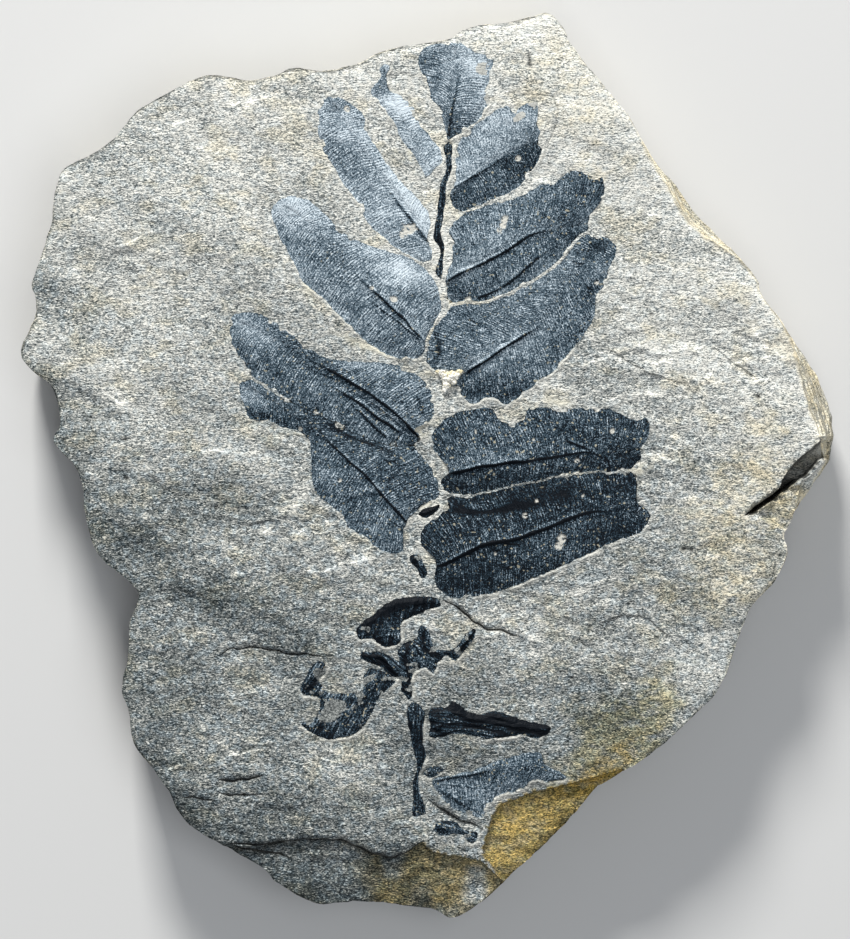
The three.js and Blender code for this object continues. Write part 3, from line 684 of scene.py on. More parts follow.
def slab_skin():
    """Vertices and faces of the whole slab, how much painted shade each vertex gets, and how lipped or
    sideways it is.
    """
    flat, faces, ring_numbers = triangles_inside(top_ring, face_places())
    height, hollow_shade, lip = stone_face(flat[:, 0], flat[:, 1])
    under_film = np.zeros(len(flat), bool)
    for name in sorted(FILMS):
        under_film |= inside(flat[:, 0], flat[:, 1], margins[name])
    deep = nearest(all_margins, flat[:, 0], flat[:, 1])[1] > 0.07
    height = np.where(under_film & deep, -BED_DEPTH, height)
    ring_distance = nearest(top_ring, flat[:, 0], flat[:, 1])[1]
    worn = np.exp(-ring_distance / 0.5) * (0.3 + 0.25 * lumps(flat[:, 0], flat[:, 1], 3, 3, 33))
    z = FACE_HEIGHT + height - worn
    vertices = [np.column_stack([flat, z])]
    all_faces = [list(face) for face in faces]

    rng = np.random.default_rng(42)
    top_z = z[ring_numbers]
    level = 1.0
    upper = list(ring_numbers)
    count = len(upper)
    total = len(flat)
    while level > 0:
        thickness = rng.uniform(*LAMINA_SHARES)
        seed = int(rng.integers(1000))
        step = 0.26 * lumps(*rim.T, 5.5, 5.5, seed) + 0.13 * lumps(*rim.T, 1.4, 1.4, seed + 1)
        lower_level = max(level - thickness, 0)
        for at, ledge in ((level - 0.004, 0.0), (lower_level, 0.05)):
            share = max(at, 0.0)
            inset = np.interp(share, *RIM_INSETS)
            slope = np.interp(share, *RIM_SLOPES)
            grit = 0.05 * lumps(rim[:, 0] + 9 * at, rim[:, 1], 0.7, 0.7, seed + 2)
            ring = ring_at(np.maximum(inset + slope * rim_bevel + step + ledge + grit, 0.02))
            ring_z = top_z * share
            vertices.append(np.column_stack([ring, ring_z]))
            numbers = list(range(total, total + count))
            total += count
            for k in range(count):
                after = (k + 1) % count
                all_faces.append([upper[k], numbers[k], numbers[after], upper[after]])
            upper = numbers
        level = lower_level
    base_ring = vertices[-1][:, :2]
    columns, rows = np.meshgrid(np.arange(-56, 57, 2.0), np.arange(-62, 63, 2.0))
    spots = np.column_stack([columns.ravel(), rows.ravel()]) + rng.uniform(-0.5, 0.5, (columns.size, 2))
    spots = spots[inside(*spots.T, base_ring)]
    spots = spots[nearest(base_ring, *spots.T)[1] > 0.9]
    base, base_faces, base_numbers = triangles_inside(base_ring, spots)
    own = {number: upper[k] for k, number in enumerate(base_numbers)}
    rough = np.maximum(0.35 * lumps(base[:, 0], base[:, 1], 9, 6, 43) + 0.1, 0)
    added = 0
    for number in range(len(base)):
        if number not in own:
            own[number] = total + added
            added += 1
            vertices.append([[base[number, 0], base[number, 1], rough[number]]])
    all_faces += [[own[c], own[b], own[a]] for a, b, c in base_faces]
    side = np.zeros(total + added)
    side[len(flat):total] = 1
    side[ring_numbers] = 0.5
    elsewhere = np.zeros(total + added - len(flat))
    hollow_shade = np.concatenate([hollow_shade, elsewhere])
    lip = np.concatenate([lip * ~under_film, elsewhere])
    return np.vstack(vertices), all_faces, hollow_shade, lip, side


def add_mesh(name, vertices, faces):
    """A mesh object at the origin from vertices in millimetres."""
    mesh = bpy.data.meshes.new(name)
    mesh.from_pydata((np.asarray(vertices) * MM).tolist(), [], faces)
    mesh.update()
    piece = bpy.data.objects.new(name, mesh)
    bpy.context.scene.collection.objects.link(piece)
    return piece


def set_value(piece, name, values):
    """A number for each vertex, which the material reads by name."""
    attribute = piece.data.attributes.new(name, "FLOAT", "POINT")
    attribute.data.foreach_set("value", np.asarray(values, np.float32))


slab_vertices, slab_faces, slab_hollow_shade, slab_lip, slab_side = slab_skin()
slab = add_mesh("shale_plate", slab_vertices, slab_faces)
slab_x, slab_y, slab_z = slab_vertices.T
set_value(slab, "hollow_shade", slab_hollow_shade)
set_value(slab, "lip", slab_lip)

# Broad patches of paler or darker stone: place, half length, half width, turn, change.
STONE_SHADES = [
    (-40, -6, 10, 5, -35, -0.1), (-30, -2, 8, 5, -35, -0.1), (-22, -18, 8, 5, 0, -0.02),
    (-42, 12, 10, 7, 0, 0.07), (-12, -42, 8, 5, 0, 0.05), (16, -27, 9, 5, 0, 0.05),
    (40, 18, 10, 6, 0, 0.12), (-18, -58, 14, 3.5, 0, -0.16), (2, -60, 7, 3, 0, 0.02),
    (38, 5, 7, 5, 0, -0.04), (43.5, -13.5, 6, 6, 0, 0.04), (-46, 23, 7, 6, 0, 0.03),
    (7, -32, 6, 4, 0, 0.1), (14, -51, 8, 6, 40, 0.16),
]

# How pale the stone is: palest at the apex, dark towards the lower left, pale along the stem.
# A painted highlight where the broken edge of a lamina faces the tip is added from the scarp and crest
# values below.
daylight = (0.4 * slab_x + 0.88 * slab_y) / 60
paleness = np.interp(daylight, [-1.05, -0.8, -0.45, -0.1, 0.2, 0.95],
                     [0.3, 0.42, 0.46, 0.62, 0.68, 0.86])
paleness += 0.08 * np.exp(-(((slab_x - 1 - 0.06 * slab_y) / 3.5) ** 2)) * ramp(slab_y, -22, -12)
paleness += 0.1 * lumps(0.86 * slab_x - 0.5 * slab_y, 0.5 * slab_x + 0.86 * slab_y, 14, 6, 51)
for *where, change in STONE_SHADES:
    paleness += change * ellipse(slab_x, slab_y, *where)
rim_distance = nearest(top_ring, slab_x, slab_y)[1]
# Painted light on the right-hand rim, which gets little of the light: a bright line along the edge of the
# face and a paler upper side of the slope.
right_rim = ramp(slab_x, 18, 34) * ramp(slab_y, -30, -4)
upper_side = (slab_side > 0.4) * ramp(slab_z, 4, 9)
paleness += right_rim * (0.24 * np.exp(-rim_distance / 0.5) + 0.2 * upper_side)
set_value(slab, "paleness", paleness)
set_value(slab, "layer", layer_at(slab_x, slab_y))

# Painted highlight: only the scarps that face the tip, where the light comes from, get a bright broken
# edge.
slope_x = layer_at(slab_x + 0.1, slab_y) - layer_at(slab_x - 0.1, slab_y)
slope_y = layer_at(slab_x, slab_y + 0.1) - layer_at(slab_x, slab_y - 0.1)
facing_tip = (-0.45 * slope_x - 0.9 * slope_y) / (np.hypot(slope_x, slope_y) + 1e-6)
set_value(slab, "scarp", ramp(facing_tip, 0.35, 0.9) * ramp(flakiness(slab_x, slab_y), 0.15, 0.55))
set_value(slab, "side", slab_side)
# Painted highlight along each crest line, where its edge catches the light.
crest_number, crest_distance = nearest(crest_lines[:, :2], slab_x, slab_y)
crest = 0.6 * np.exp(-((crest_distance / 0.2) ** 2)) + 0.4 * np.exp(-((crest_distance / 0.9) ** 2))
crest *= crest_lines[crest_number, 5] * crest_lines[crest_number, 6]
set_value(slab, "crest", crest * (slab_side < 0.4))

# Crusts of cream stone along the stem and the edges of the films.
CREAM_PLACES = [
    (-2.0, 4.8, 1.7, 0.7, -20), (4.0, 22.7, 2.4, 0.45, 5), (6.8, 22.5, 1.5, 0.4, 0),
    (2.2, 1.3, 0.6, 1.7, 0), (-0.6, -5.7, 1.2, 0.4, 20), (18.3, 8.7, 1.6, 0.5, -10),
    (29.5, -0.8, 1.5, 0.5, 0), (-17, 24.5, 1, 0.4, -50), (-8.3, 16.3, 4.5, 0.35, -22),
    (4.2, 32.5, 0.5, 3.0, 0), (-2.4, 43.3, 0.5, 2.0, 10), (29, 2.8, 0.8, 0.5, 0),
]
cream = np.zeros(len(slab_x))
for where in CREAM_PLACES:
    cream = np.maximum(cream, ellipse(slab_x, slab_y, *where))
set_value(slab, "cream", cream * (slab_side < 0.4))


def patch(centre_x, centre_y, half_length, half_width, turn):
    """A ragged patch of stain on the slab, 1 at its middle and 0 outside."""
    along, across = turned(slab_x - centre_x, slab_y - centre_y, turn)
    ragged = 0.35 * lumps(slab_x, slab_y, 5, 3.5, 52) + 0.2 * lumps(slab_x, slab_y, 1.8, 1.2, 53)
    return ramp(np.hypot(along / half_length, across / half_width) + ragged, 1.15, 0.55)


# Stains: tan patches on the right (place, half length, half width, turn, amount), ochre on the
# terrace and the foot, which runs a ragged way down the rim, and olive beside it.
TAN_PLACES = [(44, -3, 13, 6, 50, 0.5), (49, -6.5, 5, 3, 40, 0.8), (20, 52, 12, 6, -52, 0.25),
              (42, -14, 12, 6, 55, 0.5)]
ragged = lumps(slab_x + slab_z, slab_y - slab_z, 7, 5, 56) + 0.5 * lumps(slab_x, slab_y + slab_z, 2, 2, 57)
down_side = 1 - slab_side * (1 - ramp(slab_z + 5 * ragged, 7, 12))
ochre = 0.95 * inside(slab_x, slab_y, OCHRE_TERRACE) * down_side
foot = inside(slab_x, slab_y, LOWER_TERRACE) * ramp(slab_x, -11, -6) * down_side
ochre = np.maximum(ochre, 0.75 * foot * ramp(lumps(slab_x, slab_y, 4, 3, 54), -0.9, 0.1))
ochre = np.maximum(ochre, 0.5 * patch(24, -43, 5, 2, 35))
set_value(slab, "ochre", ochre)
tan = 0.4 * right_rim * (slab_side > 0.4)
for *where, amount in TAN_PLACES:
    tan = np.maximum(tan, amount * patch(*where))
set_value(slab, "tan", tan)
set_value(slab, "olive", 0.8 * patch(27, -38, 11, 5.5, 38))


class Amount:
    """A number in a material. Arithmetic on it adds the Math nodes that work it out."""

    def __init__(self, finish, socket):
        self.finish = finish
        self.socket = socket

    def sum_of(self, operation, first, second):
        return self.finish.node("ShaderNodeMath", {"operation": operation}, {0: first, 1: second})

    def __add__(self, other):
        return self.sum_of("ADD", self, other)

    def __radd__(self, other):
        return self.sum_of("ADD", other, self)

    def __sub__(self, other):
        return self.sum_of("SUBTRACT", self, other)

    def __rsub__(self, other):
        return self.sum_of("SUBTRACT", other, self)

    def __mul__(self, other):
        return self.sum_of("MULTIPLY", self, other)

    def __abs__(self):
        return self.finish.node("ShaderNodeMath", {"operation": "ABSOLUTE"}, {0: self})


NOISE_ROUGHNESS = 0.55


class Finish:
    """A material built up node by node on one Principled shader."""

    def __init__(self, name, specular):
        self.material = bpy.data.materials.new(name)
        self.material.use_nodes = True
        self.tree = self.material.node_tree
        self.shader = self.tree.nodes["Principled BSDF"]
        self.shader.inputs["Specular IOR Level"].default_value = specular

    def connect(self, value, socket):
        if isinstance(value, Amount):
            self.tree.links.new(value.socket, socket)
        else:
            socket.default_value = value

    def node(self, kind, settings=None, inputs=None, output=0):
        made = self.tree.nodes.new(kind)
        for key, value in (settings or {}).items():
            setattr(made, key, value)
        for key, value in (inputs or {}).items():
            self.connect(value, made.inputs[key])
        return Amount(self, made.outputs[output])

    def place(self, stretch=(1, 1, 1), turn=0.0, shift=0.0):
        """Object coordinates, in millimetres, stretched along X, Y and Z and turned about Z."""
        where = self.node("ShaderNodeTexCoord", output="Object")
        scale = tuple(1 / (MM * part) for part in stretch)
        return self.node("ShaderNodeMapping", {}, {
            "Vector": where, "Location": (shift, shift, shift), "Scale": scale,
            "Rotation": (0, 0, math.radians(turn)),
        })

    def noise(self, size, where, detail=2.0):
        """Noise from 0 to 1 whose lumps are about `size` millimetres."""
        return self.node("ShaderNodeTexNoise", {}, {
            "Vector": where, "Scale": 1 / size, "Detail": detail, "Roughness": NOISE_ROUGHNESS,
        })

    def threads(self, noise, width):
        """1 on the thin winding lines where a noise passes its middle, 0 away from them."""
        return 1 - self.between(abs(noise - 0.5), 0.0, width)

    def between(self, value, start, end):
        """0 below start, 1 above end."""
        return self.node("ShaderNodeMapRange", {"interpolation_type": "SMOOTHSTEP"},
                         {"Value": value, "From Min": start, "From Max": end})

    def read(self, name):
        return self.node("ShaderNodeAttribute", {"attribute_name": name}, output="Fac")

    def mix(self, share, first, second):
        """first where share is 0, second where it is 1; both are colours."""
        return self.node("ShaderNodeMix", {"data_type": "RGBA"},
                         {"Factor": share, 6: first, 7: second}, output=2)

    def ramp(self, value, stops):
        """A colour that follows a value through (place, colour) stops."""
        made = self.node("ShaderNodeValToRGB", {}, {"Fac": value})
        elements = made.socket.node.color_ramp.elements
        elements.remove(elements[1])
        elements[0].position, elements[0].color = stops[0]
        for position, colour in stops[1:]:
            elements.new(position).color = colour
        return made

    def tinted(self, colour, share, tint):
        """A colour stained by multiplying it with a tint where share is 1."""
        return self.node("ShaderNodeMix", {"data_type": "RGBA", "blend_type": "MULTIPLY"},
                         {"Factor": share, 6: colour, 7: tint}, output=2)

    def bump(self, height, distance, strength=1.0):
        return self.node("ShaderNodeBump", {}, {
            "Height": height, "Distance": distance * MM, "Strength": strength,
        })

    def finish(self, colour, roughness, normal):
        self.connect(colour, self.shader.inputs["Base Color"])
        self.connect(roughness, self.shader.inputs["Roughness"])
        self.connect(normal, self.shader.inputs["Normal"])
        return self.material


def paint(red, green, blue):
    return (red, green, blue, 1.0)


# The stone: grey mud whose grains lie pale and dark side by side, with painted highlights on the
# broken edges of laminae that face the light and painted shade in its cracks, pits, seam and crevice;
# tan on the right-hand edge, olive and ochre where iron has stained it.
stone = Finish("shale_stone", specular=0.15)
plain_place = stone.place()
bed_place = stone.place(stretch=(1.5, 1.0, 0.8), turn=12)
dust = stone.noise(0.16, stone.place(stretch=(1.5, 1.0, 1.0)), detail=0.0)
grain = stone.noise(0.3, stone.place(stretch=(2.6, 1.0, 1.0), turn=6, shift=7.3), detail=1.0)
dark_grain = stone.noise(0.3, stone.place(stretch=(2.6, 1.0, 1.0), turn=6, shift=31.9), detail=1.0)
fleck = stone.noise(1.3, bed_place, detail=3.0)
flake = stone.noise(4.5, stone.place(stretch=(1.7, 1.0, 1.0), turn=8, shift=3.1), detail=6.0)
mottle = stone.noise(3.4, bed_place, detail=3.0)
cloud = stone.noise(9.0, bed_place, detail=3.0)
strata = stone.noise(0.9, stone.place(stretch=(9.0, 9.0, 0.4), shift=2.2), detail=3.0)
grit = (dust - 0.5) * 0.72 + stone.threads(grain, 0.08) * 0.36 - stone.threads(dark_grain, 0.08) * 0.4
side = stone.read("side")

# Painted highlight: a thin pale line along the scarps of the bed that face the light.
layer = stone.read("layer") + (fleck - 0.5) * 0.7 + (flake - 0.5) * 1.6
lamina = stone.node("ShaderNodeMath", {"operation": "FRACT"}, {0: layer})
scarp_highlight = stone.between(lamina, 0.84, 0.92) - stone.between(lamina, 0.95, 1.0)
edge_shown = stone.read("scarp") * stone.between(mottle, 0.42, 0.58)
grit = grit * (1.0 - stone.read("ochre") * 0.22)
pale = stone.read("paleness") + grit + (fleck - 0.5) * 0.3 + (cloud - 0.5) * 0.46 + (flake - 0.5) * 0.2
# Painted highlight along the crest lines, broken up by the grain.
crest_highlight = stone.read("crest") * stone.between(fleck + (grain - 0.5) * 0.5, 0.4, 0.6)
pale = pale + scarp_highlight * edge_shown * 0.36 + crest_highlight * 0.48 + side * ((strata - 0.5) * 1.1 - 0.06)
stone_colour = stone.ramp(pale, [
    (0.0, paint(0.016, 0.022, 0.024)), (0.3, paint(0.08, 0.094, 0.095)),
    (0.6, paint(0.285, 0.302, 0.29)), (1.0, paint(0.81, 0.80, 0.73)),
])
brown = stone.between(mottle, 0.5, 0.66) * 0.5
bluish = stone.between(stone.noise(1.0, plain_place, detail=1.0), 0.48, 0.6)
bluish = bluish * (0.65 - stone.between(stone.read("paleness"), 0.45, 0.8) * 0.4)
rust = 0.8 + stone.between(fleck + (grain - 0.5) * 0.3, 0.3, 0.6) * 0.24
for share, tint in [
    (brown, paint(1.03, 0.94, 0.76)),
    (bluish, paint(0.86, 0.98, 1.1)),
    (stone.read("tan") * stone.between(fleck, 0.3, 0.6), paint(0.98, 0.86, 0.62)),
    (stone.read("olive") * stone.between(fleck, 0.25, 0.55), paint(0.9, 0.8, 0.5)),
    (side * 0.5, paint(1.0, 0.94, 0.8)),
    (stone.read("ochre") * rust, paint(1.04, 0.75, 0.28)),
]:
    stone_colour = stone.tinted(stone_colour, share, tint)
# The lips along the films' lower edges are raised stone; their pale colour is a painted highlight on the
# side that faces the light. The cream crusts are the stone's own colour.
for share, colour in [
    (stone.read("lip") * stone.between(fleck, 0.34, 0.5) * 0.85, paint(0.68, 0.67, 0.6)),
    (stone.read("cream") * stone.between(fleck, 0.4, 0.5), paint(0.74, 0.71, 0.58)),
]:
    stone_colour = stone.mix(share, stone_colour, colour)
# Painted shade in the cracks, pits, seam and crevice: near black, with paler splinters.
splinters = stone.noise(0.55, stone.place(stretch=(6.0, 1.0, 1.0), turn=40), detail=2.0)
hollow_shade_colour = stone.mix(stone.between(splinters, 0.48, 0.6) * 0.6, paint(0.01, 0.01, 0.01),
                          paint(0.14, 0.14, 0.125))
stone_colour = stone.mix(stone.read("hollow_shade"), stone_colour, hollow_shade_colour)
relief = dust * 0.3 + grain * 0.6 + fleck + lamina * edge_shown * 0.5 + strata * side * 4.0
stone_bump = stone.bump(relief, 0.26, 0.9)
slab.data.materials.append(stone.finish(stone_colour, 0.93, stone_bump))
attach(slab, "root")
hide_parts("shale_slab")


# ---- Leaflets ---------------------------------------------------------------------------
# Films of carbon that keep the shape of the leaf: two halves that fall away from a raised
# midrib like a low roof, with close veins that arch from the midrib out to the margin. Each is
# lofted vein by vein and closed below as one thin flake that beds in the stone.

FILM_FLOOR = FACE_HEIGHT - 0.7
VEIN_SPACING = 0.4
LINES_PER_VEIN = 3
VEIN_ROWS = 38
MIDRIB_END = 0.94
VEIN_HEIGHT = 0.012

# Midrib from base to tip, height of its crest, and the painted light tone of the half towards the
# light and the painted shade tone of the half away from it (0 black, 1 as pale as the stone).
LEAFLETS = {
    "terminal_leaflet": ([(2.6, 45.5), (2.9, 48.9), (3.6, 53.8), (3.9, 58.9)], 0.2, 0.7, 0.72),
    "left_leaflet_1": ([(0.2, 40.6), (-1.6, 44.2), (-3.6, 47.8), (-5.6, 52), (-6.4, 55.9)],
                       0.15, 0.92, 0.86),
    "left_leaflet_2": ([(0.3, 28.6), (-1.3, 33.2), (-4.1, 37.5), (-7.2, 41.4), (-11, 46.4), (-13.9, 51.4)],
                       0.25, 0.86, 0.78),
    "left_leaflet_3": ([(-0.7, 16.4), (-5.5, 22.3), (-9.5, 25.8), (-11.8, 28.3), (-16.7, 33.5),
                        (-21.2, 36.8)], 0.45, 0.64, 0.62),
    "left_leaflet_4": ([(-1.4, 3.9), (-4.1, 5.9), (-9.7, 10.4), (-16.7, 14.6), (-23, 18.1),
                        (-27.8, 20.4)], 0.5, 0.52, 0.46),
    "left_leaflet_5": ([(-3.5, -8.6), (-6.5, -5), (-10, -1.3), (-13.9, 2.7), (-20.2, 7.6), (-26.3, 11.2)],
                       0.35, 0.41, 0.42),
    "right_leaflet_1": ([(2.9, 37.6), (7.1, 41.2), (12.7, 44.2), (15.9, 45.6)], 0.4, 0.72, 0.4),
    "right_leaflet_2": ([(2.4, 25.2), (7.1, 28.7), (12.7, 31.5), (18.3, 32.9), (22.4, 33.6)],
                        0.5, 0.5, 0.5),
    "right_leaflet_3": ([(4.9, 12.8), (8.5, 15.1), (12.7, 17.9), (16.2, 21.4), (20.4, 26.5),
                         (24.6, 31.8)], 0.45, 0.52, 0.5),
    "right_leaflet_4": ([(2.7, -1.5), (7.1, -0.4), (12.7, 0.6), (18.3, 1.7), (23.5, 1.2), (29.5, 1.4)],
                        0.4, 0.33, 0.16),
    "right_leaflet_5": ([(0.9, -13.8), (6.4, -11.6), (9.9, -10.8), (16.9, -8.3), (23.9, -6.7),
                         (30.9, -7.1)], 0.45, 0.1, 0.18),
    "lower_leaflet_2": ([(0.5, -44.4), (6.4, -43.4), (9.2, -42.8), (14.1, -42.5), (19.2, -44)],
                        0.25, 0.56, 0.5),
}

# Sharp folds and midrib lines in each film: points, half width, height, how black the painted shade
# on the side away from the light is, and how pale the painted highlight on the side towards it.
FOLDS = {
    "terminal_leaflet": [
        ([(2.6, 45.5), (2.9, 48.2), (3.2, 49.8), (3.6, 51.7), (3.9, 53.8), (4, 56.3)],
          0.3, 0.08, 0.45, 0.1),
        ([(6, 58), (6.7, 56.3), (7.5, 54.5)], 0.14, 0.03, 0.35, 0.1),
    ],
    "left_leaflet_1": [
        ([(2, 43.7), (1.2, 44.8), (0.1, 45.9), (-1.5, 47.6)], 0.2, 0.05, 0.3, 0),
    ],
    "left_leaflet_2": [
        ([(0.5, 30.2), (-0.5, 31.6), (-1.6, 33), (-2.9, 34.7), (-4, 36.1), (-5.3, 37.9),
          (-6.5, 39.5)], 0.3, 0.12, 0.6, 0.15),
        ([(-0.6, 31.4), (-2, 32.9), (-3.3, 34.3), (-4.4, 35.7)], 0.16, 0.05, 0.3, 0.05),
    ],
    "left_leaflet_3": [
        ([(-0.8, 17.4), (-2.3, 18.8), (-3.4, 20.2), (-5, 21.6), (-6.4, 23), (-7.8, 24.2),
          (-9.3, 25.6), (-10.9, 27.4)], 0.26, 0.16, 0.75, 0.2),
        ([(-1.3, 17.4), (-3, 18.8), (-4.7, 20.2), (-6.4, 21.4), (-8.1, 22.8), (-9.6, 23.8)],
          0.2, 0.1, 0.5, 0.15),
        ([(-3.4, 18.3), (-5.3, 19.6), (-7.2, 21), (-8.6, 22.1)], 0.12, 0.05, 0.25, 0.1),
    ],
    "left_leaflet_4": [
        ([(-1.2, 3.6), (-2.5, 4.9), (-3.7, 6.2), (-5.3, 7.6), (-6.9, 8.8), (-8.3, 9.9),
          (-10, 10.9), (-11.8, 12), (-13.9, 13.2), (-15.6, 14.1), (-17.7, 15.4)], 0.3, 0.24, 0.85, 0.2),
        ([(-4, 4.3), (-5.5, 5.5), (-6.9, 6.3), (-8.3, 7.4), (-9.7, 8.5), (-11.1, 9.4),
          (-12.8, 10.4), (-14.9, 11.3)], 0.3, 0.22, 0.8, 0.45),
        ([(-5.8, 3.6), (-7.2, 4.8), (-8.6, 6.2), (-10, 7.6), (-11.6, 8.8)], 0.26, 0.16, 0.7, 0.3),
        ([(-3, 4.6), (-4.7, 6), (-6.4, 7.4), (-8.2, 8.7), (-10.3, 9.8)], 0.12, 0.08, 0.3, 0.3),
        ([(-11.8, 11.3), (-13.9, 12.2), (-16, 13), (-18.1, 14.3)], 0.14, 0.06, 0.35, 0.1),
        ([(-0.8, 7), (-1.2, 8.4), (-1.8, 9.9)], 0.45, 0.05, 0.45, 0),
    ],
    "left_leaflet_5": [
        ([(-3, -8.4), (-4.1, -7), (-5.5, -5.5), (-6.9, -3.9), (-8.3, -2.2), (-9.7, -0.8),
          (-11.1, 0.3), (-12.3, 1.5), (-13.8, 2.9), (-15.3, 4.5), (-16.7, 5.6)], 0.26, 0.18, 0.8, 0.2),
        ([(-4.7, 1.5), (-6.2, 2.1), (-8.3, 2.9), (-10.9, 3.9), (-13.2, 5.2), (-15.6, 6.6)],
          0.5, 0.1, 0.4, 0),
        ([(-3.9, -9), (-5.3, -8), (-6.5, -6.7)], 0.16, 0.05, 0.35, 0.15),
    ],
    "right_leaflet_1": [
        ([(2.9, 38.4), (4.3, 39.2), (6, 40.2), (8.1, 41.4), (9.9, 42.6), (11.6, 43.7)],
          0.22, 0.14, 0.4, 0.15),
    ],
    "right_leaflet_2": [
        ([(2.5, 25.6), (3.6, 26.3), (5, 27), (7.1, 27.9), (9.2, 29), (11.3, 30.2), (13, 31.4),
          (14.5, 32.2), (16.2, 32.6), (18.3, 32.5), (20, 31.9)], 0.28, 0.2, 0.8, 0.3),
        ([(6.5, 23.2), (8.5, 23.9), (10.3, 24.9), (11.6, 25.8), (12.7, 26.7), (14.1, 28),
          (15.5, 29.1), (16.6, 30), (17.7, 30.7)], 0.26, 0.18, 0.75, 0.15),
    ],
    "right_leaflet_3": [
        ([(5.1, 12.7), (6.4, 13.6), (7.8, 14.4), (9.2, 15.4), (10.6, 16.4), (12, 17.2),
          (13.4, 18.1), (14.8, 18.9), (16.5, 20)], 0.28, 0.26, 0.95, 0.35),
        ([(1.2, 18.5), (1.2, 16.7), (1.1, 15.1), (0.8, 13.7)], 0.5, 0.08, 0.5, 0.1),
        ([(20, 28.4), (21.1, 28.1), (22.1, 28.3)], 0.3, 0.05, 0.4, 0),
        ([(21.8, 25.3), (22.6, 24.5), (23.6, 24.1)], 0.25, 0.05, 0.5, 0),
    ],
    "right_leaflet_4": [
        ([(2.9, -1.3), (4.3, -1), (5.7, -0.7), (7.1, -0.3), (9.2, -0.1), (11.3, 0.3), (13.4, 0.4),
          (15.5, 0.7), (17.2, 0.8)], 0.3, 0.26, 0.95, 0.3),
        ([(15.2, 0.7), (17.6, 1), (19.7, 1.4), (21.8, 1.7), (23.5, 1.3), (25, 0.4)],
          0.24, 0.14, 0.7, 0.15),
        ([(19.4, 3.2), (20.8, 2.7), (22.2, 2.1), (23.5, 1.5)], 0.28, 0.12, 0.7, 0.15),
        ([(24.6, 1.1), (25.1, 0.3), (25.6, -0.7)], 0.24, 0.08, 0.5, 0.1),
        ([(2.3, -2), (3.3, -2.7), (4.4, -3.5)], 0.14, 0.05, 0.4, 0.3),
    ],
    "right_leaflet_5": [
        ([(0.9, -14.4), (2.2, -13.9), (3.6, -13.2), (5, -12.5), (6.4, -11.8), (7.8, -11.2),
          (9.9, -10.8), (12, -10.5), (14.1, -9.7), (16.2, -9), (18.3, -8.1), (20.4, -7.3),
          (22.5, -6.7), (24.2, -6.6), (25.7, -7), (27.2, -7.8)], 0.32, 0.3, 0.95, 0.45),
        ([(9.9, -10.8), (11.3, -11.2), (13, -11.2)], 0.2, 0.08, 0.5, 0.1),
        ([(3.2, -6.2), (5.7, -6.6), (7.8, -6.6), (9.9, -6.3), (12.7, -5.7), (16.6, -5.5)],
          0.6, 0, 0.4, 0),
        ([(20, -3.9), (21.4, -4.9), (22.8, -5.7), (24.2, -6.4), (25.7, -6.3)], 0.35, 0.06, 0, 0.55),
        ([(26.3, -8.4), (27.5, -9.1), (28.9, -9.9)], 0.12, 0.05, 0.3, 0.5),
        ([(27.8, -7.6), (28.9, -8.3), (29.9, -8.7)], 0.12, 0.05, 0.3, 0.5),
    ],
    "lower_leaflet_2": [
        ([(0.6, -44.5), (2.9, -44), (5.4, -43.7), (7.8, -43.1), (10.6, -43)], 0.25, 0.1, 0.45, 0.15),
        ([(1.2, -45.6), (3.6, -47), (5.7, -48.2), (7.4, -48.7)], 0.3, 0.08, 0.4, 0.1),
        ([(1.5, -44.8), (4.3, -45.1), (7.1, -45.4), (9.9, -45.1)], 0.14, 0.05, 0.3, 0.1),
    ],
    "curled_leaflet_top": [
        ([(-9.5, -23), (-8.6, -21.6), (-7.2, -20.4), (-5.3, -19.5), (-3, -19), (-0.8, -19),
          (1.2, -19.6)], 0.9, 0.3, 0.7, 0),
        ([(-8.1, -24.6), (-6.2, -24.1), (-4.4, -24.1)], 0.16, 0.06, 0.3, 0.35),
        ([(-3.4, -20.7), (-1.6, -20.6), (0.4, -20)], 0.12, 0.05, 0.2, 0.5),
        ([(-5.3, -22.1), (-4.1, -23.5), (-4.3, -25.3)], 0.14, 0.06, 0.2, 0.4),
    ],
    "curled_leaflet_middle": [
        ([(-9.5, -26.7), (-6.9, -27), (-5.5, -28.4), (-4.1, -30.1), (-2.9, -32.6)],
          0.3, 0.15, 0.6, 0.1),
        ([(-3, -24.6), (-3.3, -26.7), (-2.9, -28.8), (-2.7, -31.6)], 0.4, 0.12, 0.5, 0.1),
        ([(6.2, -23.5), (5.1, -24.9), (4, -26.3), (3.6, -27.4)], 0.3, 0.12, 0.5, 0.1),
        ([(-0.8, -23), (-0.8, -24.9), (0.1, -26.3), (1.6, -26.5)], 0.25, 0.1, 0.4, 0.15),
    ],
    "lower_leaflet_1": [
        # The broad black band along its upper edge is painted shadow in the crevice under the ledge.
        ([(2.9, -33.6), (4.6, -34.7), (6.8, -35.4), (9.9, -35.6), (12.7, -36.4), (16.3, -37.1)],
          0.7, 0.3, 0.7, 0),
        ([(0.2, -37.1), (2.9, -36.3), (5.7, -36.4), (8.5, -37.1), (12, -37.9)], 0.18, 0.1, 0.3, 0.5),
        ([(0.4, -35.3), (2.6, -35.3), (5, -35.7), (8.5, -36.1), (13.4, -37.2)], 0.16, 0.08, 0.2, 0.4),
        ([(1.5, -37.9), (4.6, -37.2), (8.2, -37.9)], 0.14, 0.08, 0.3, 0.35),
    ],
}


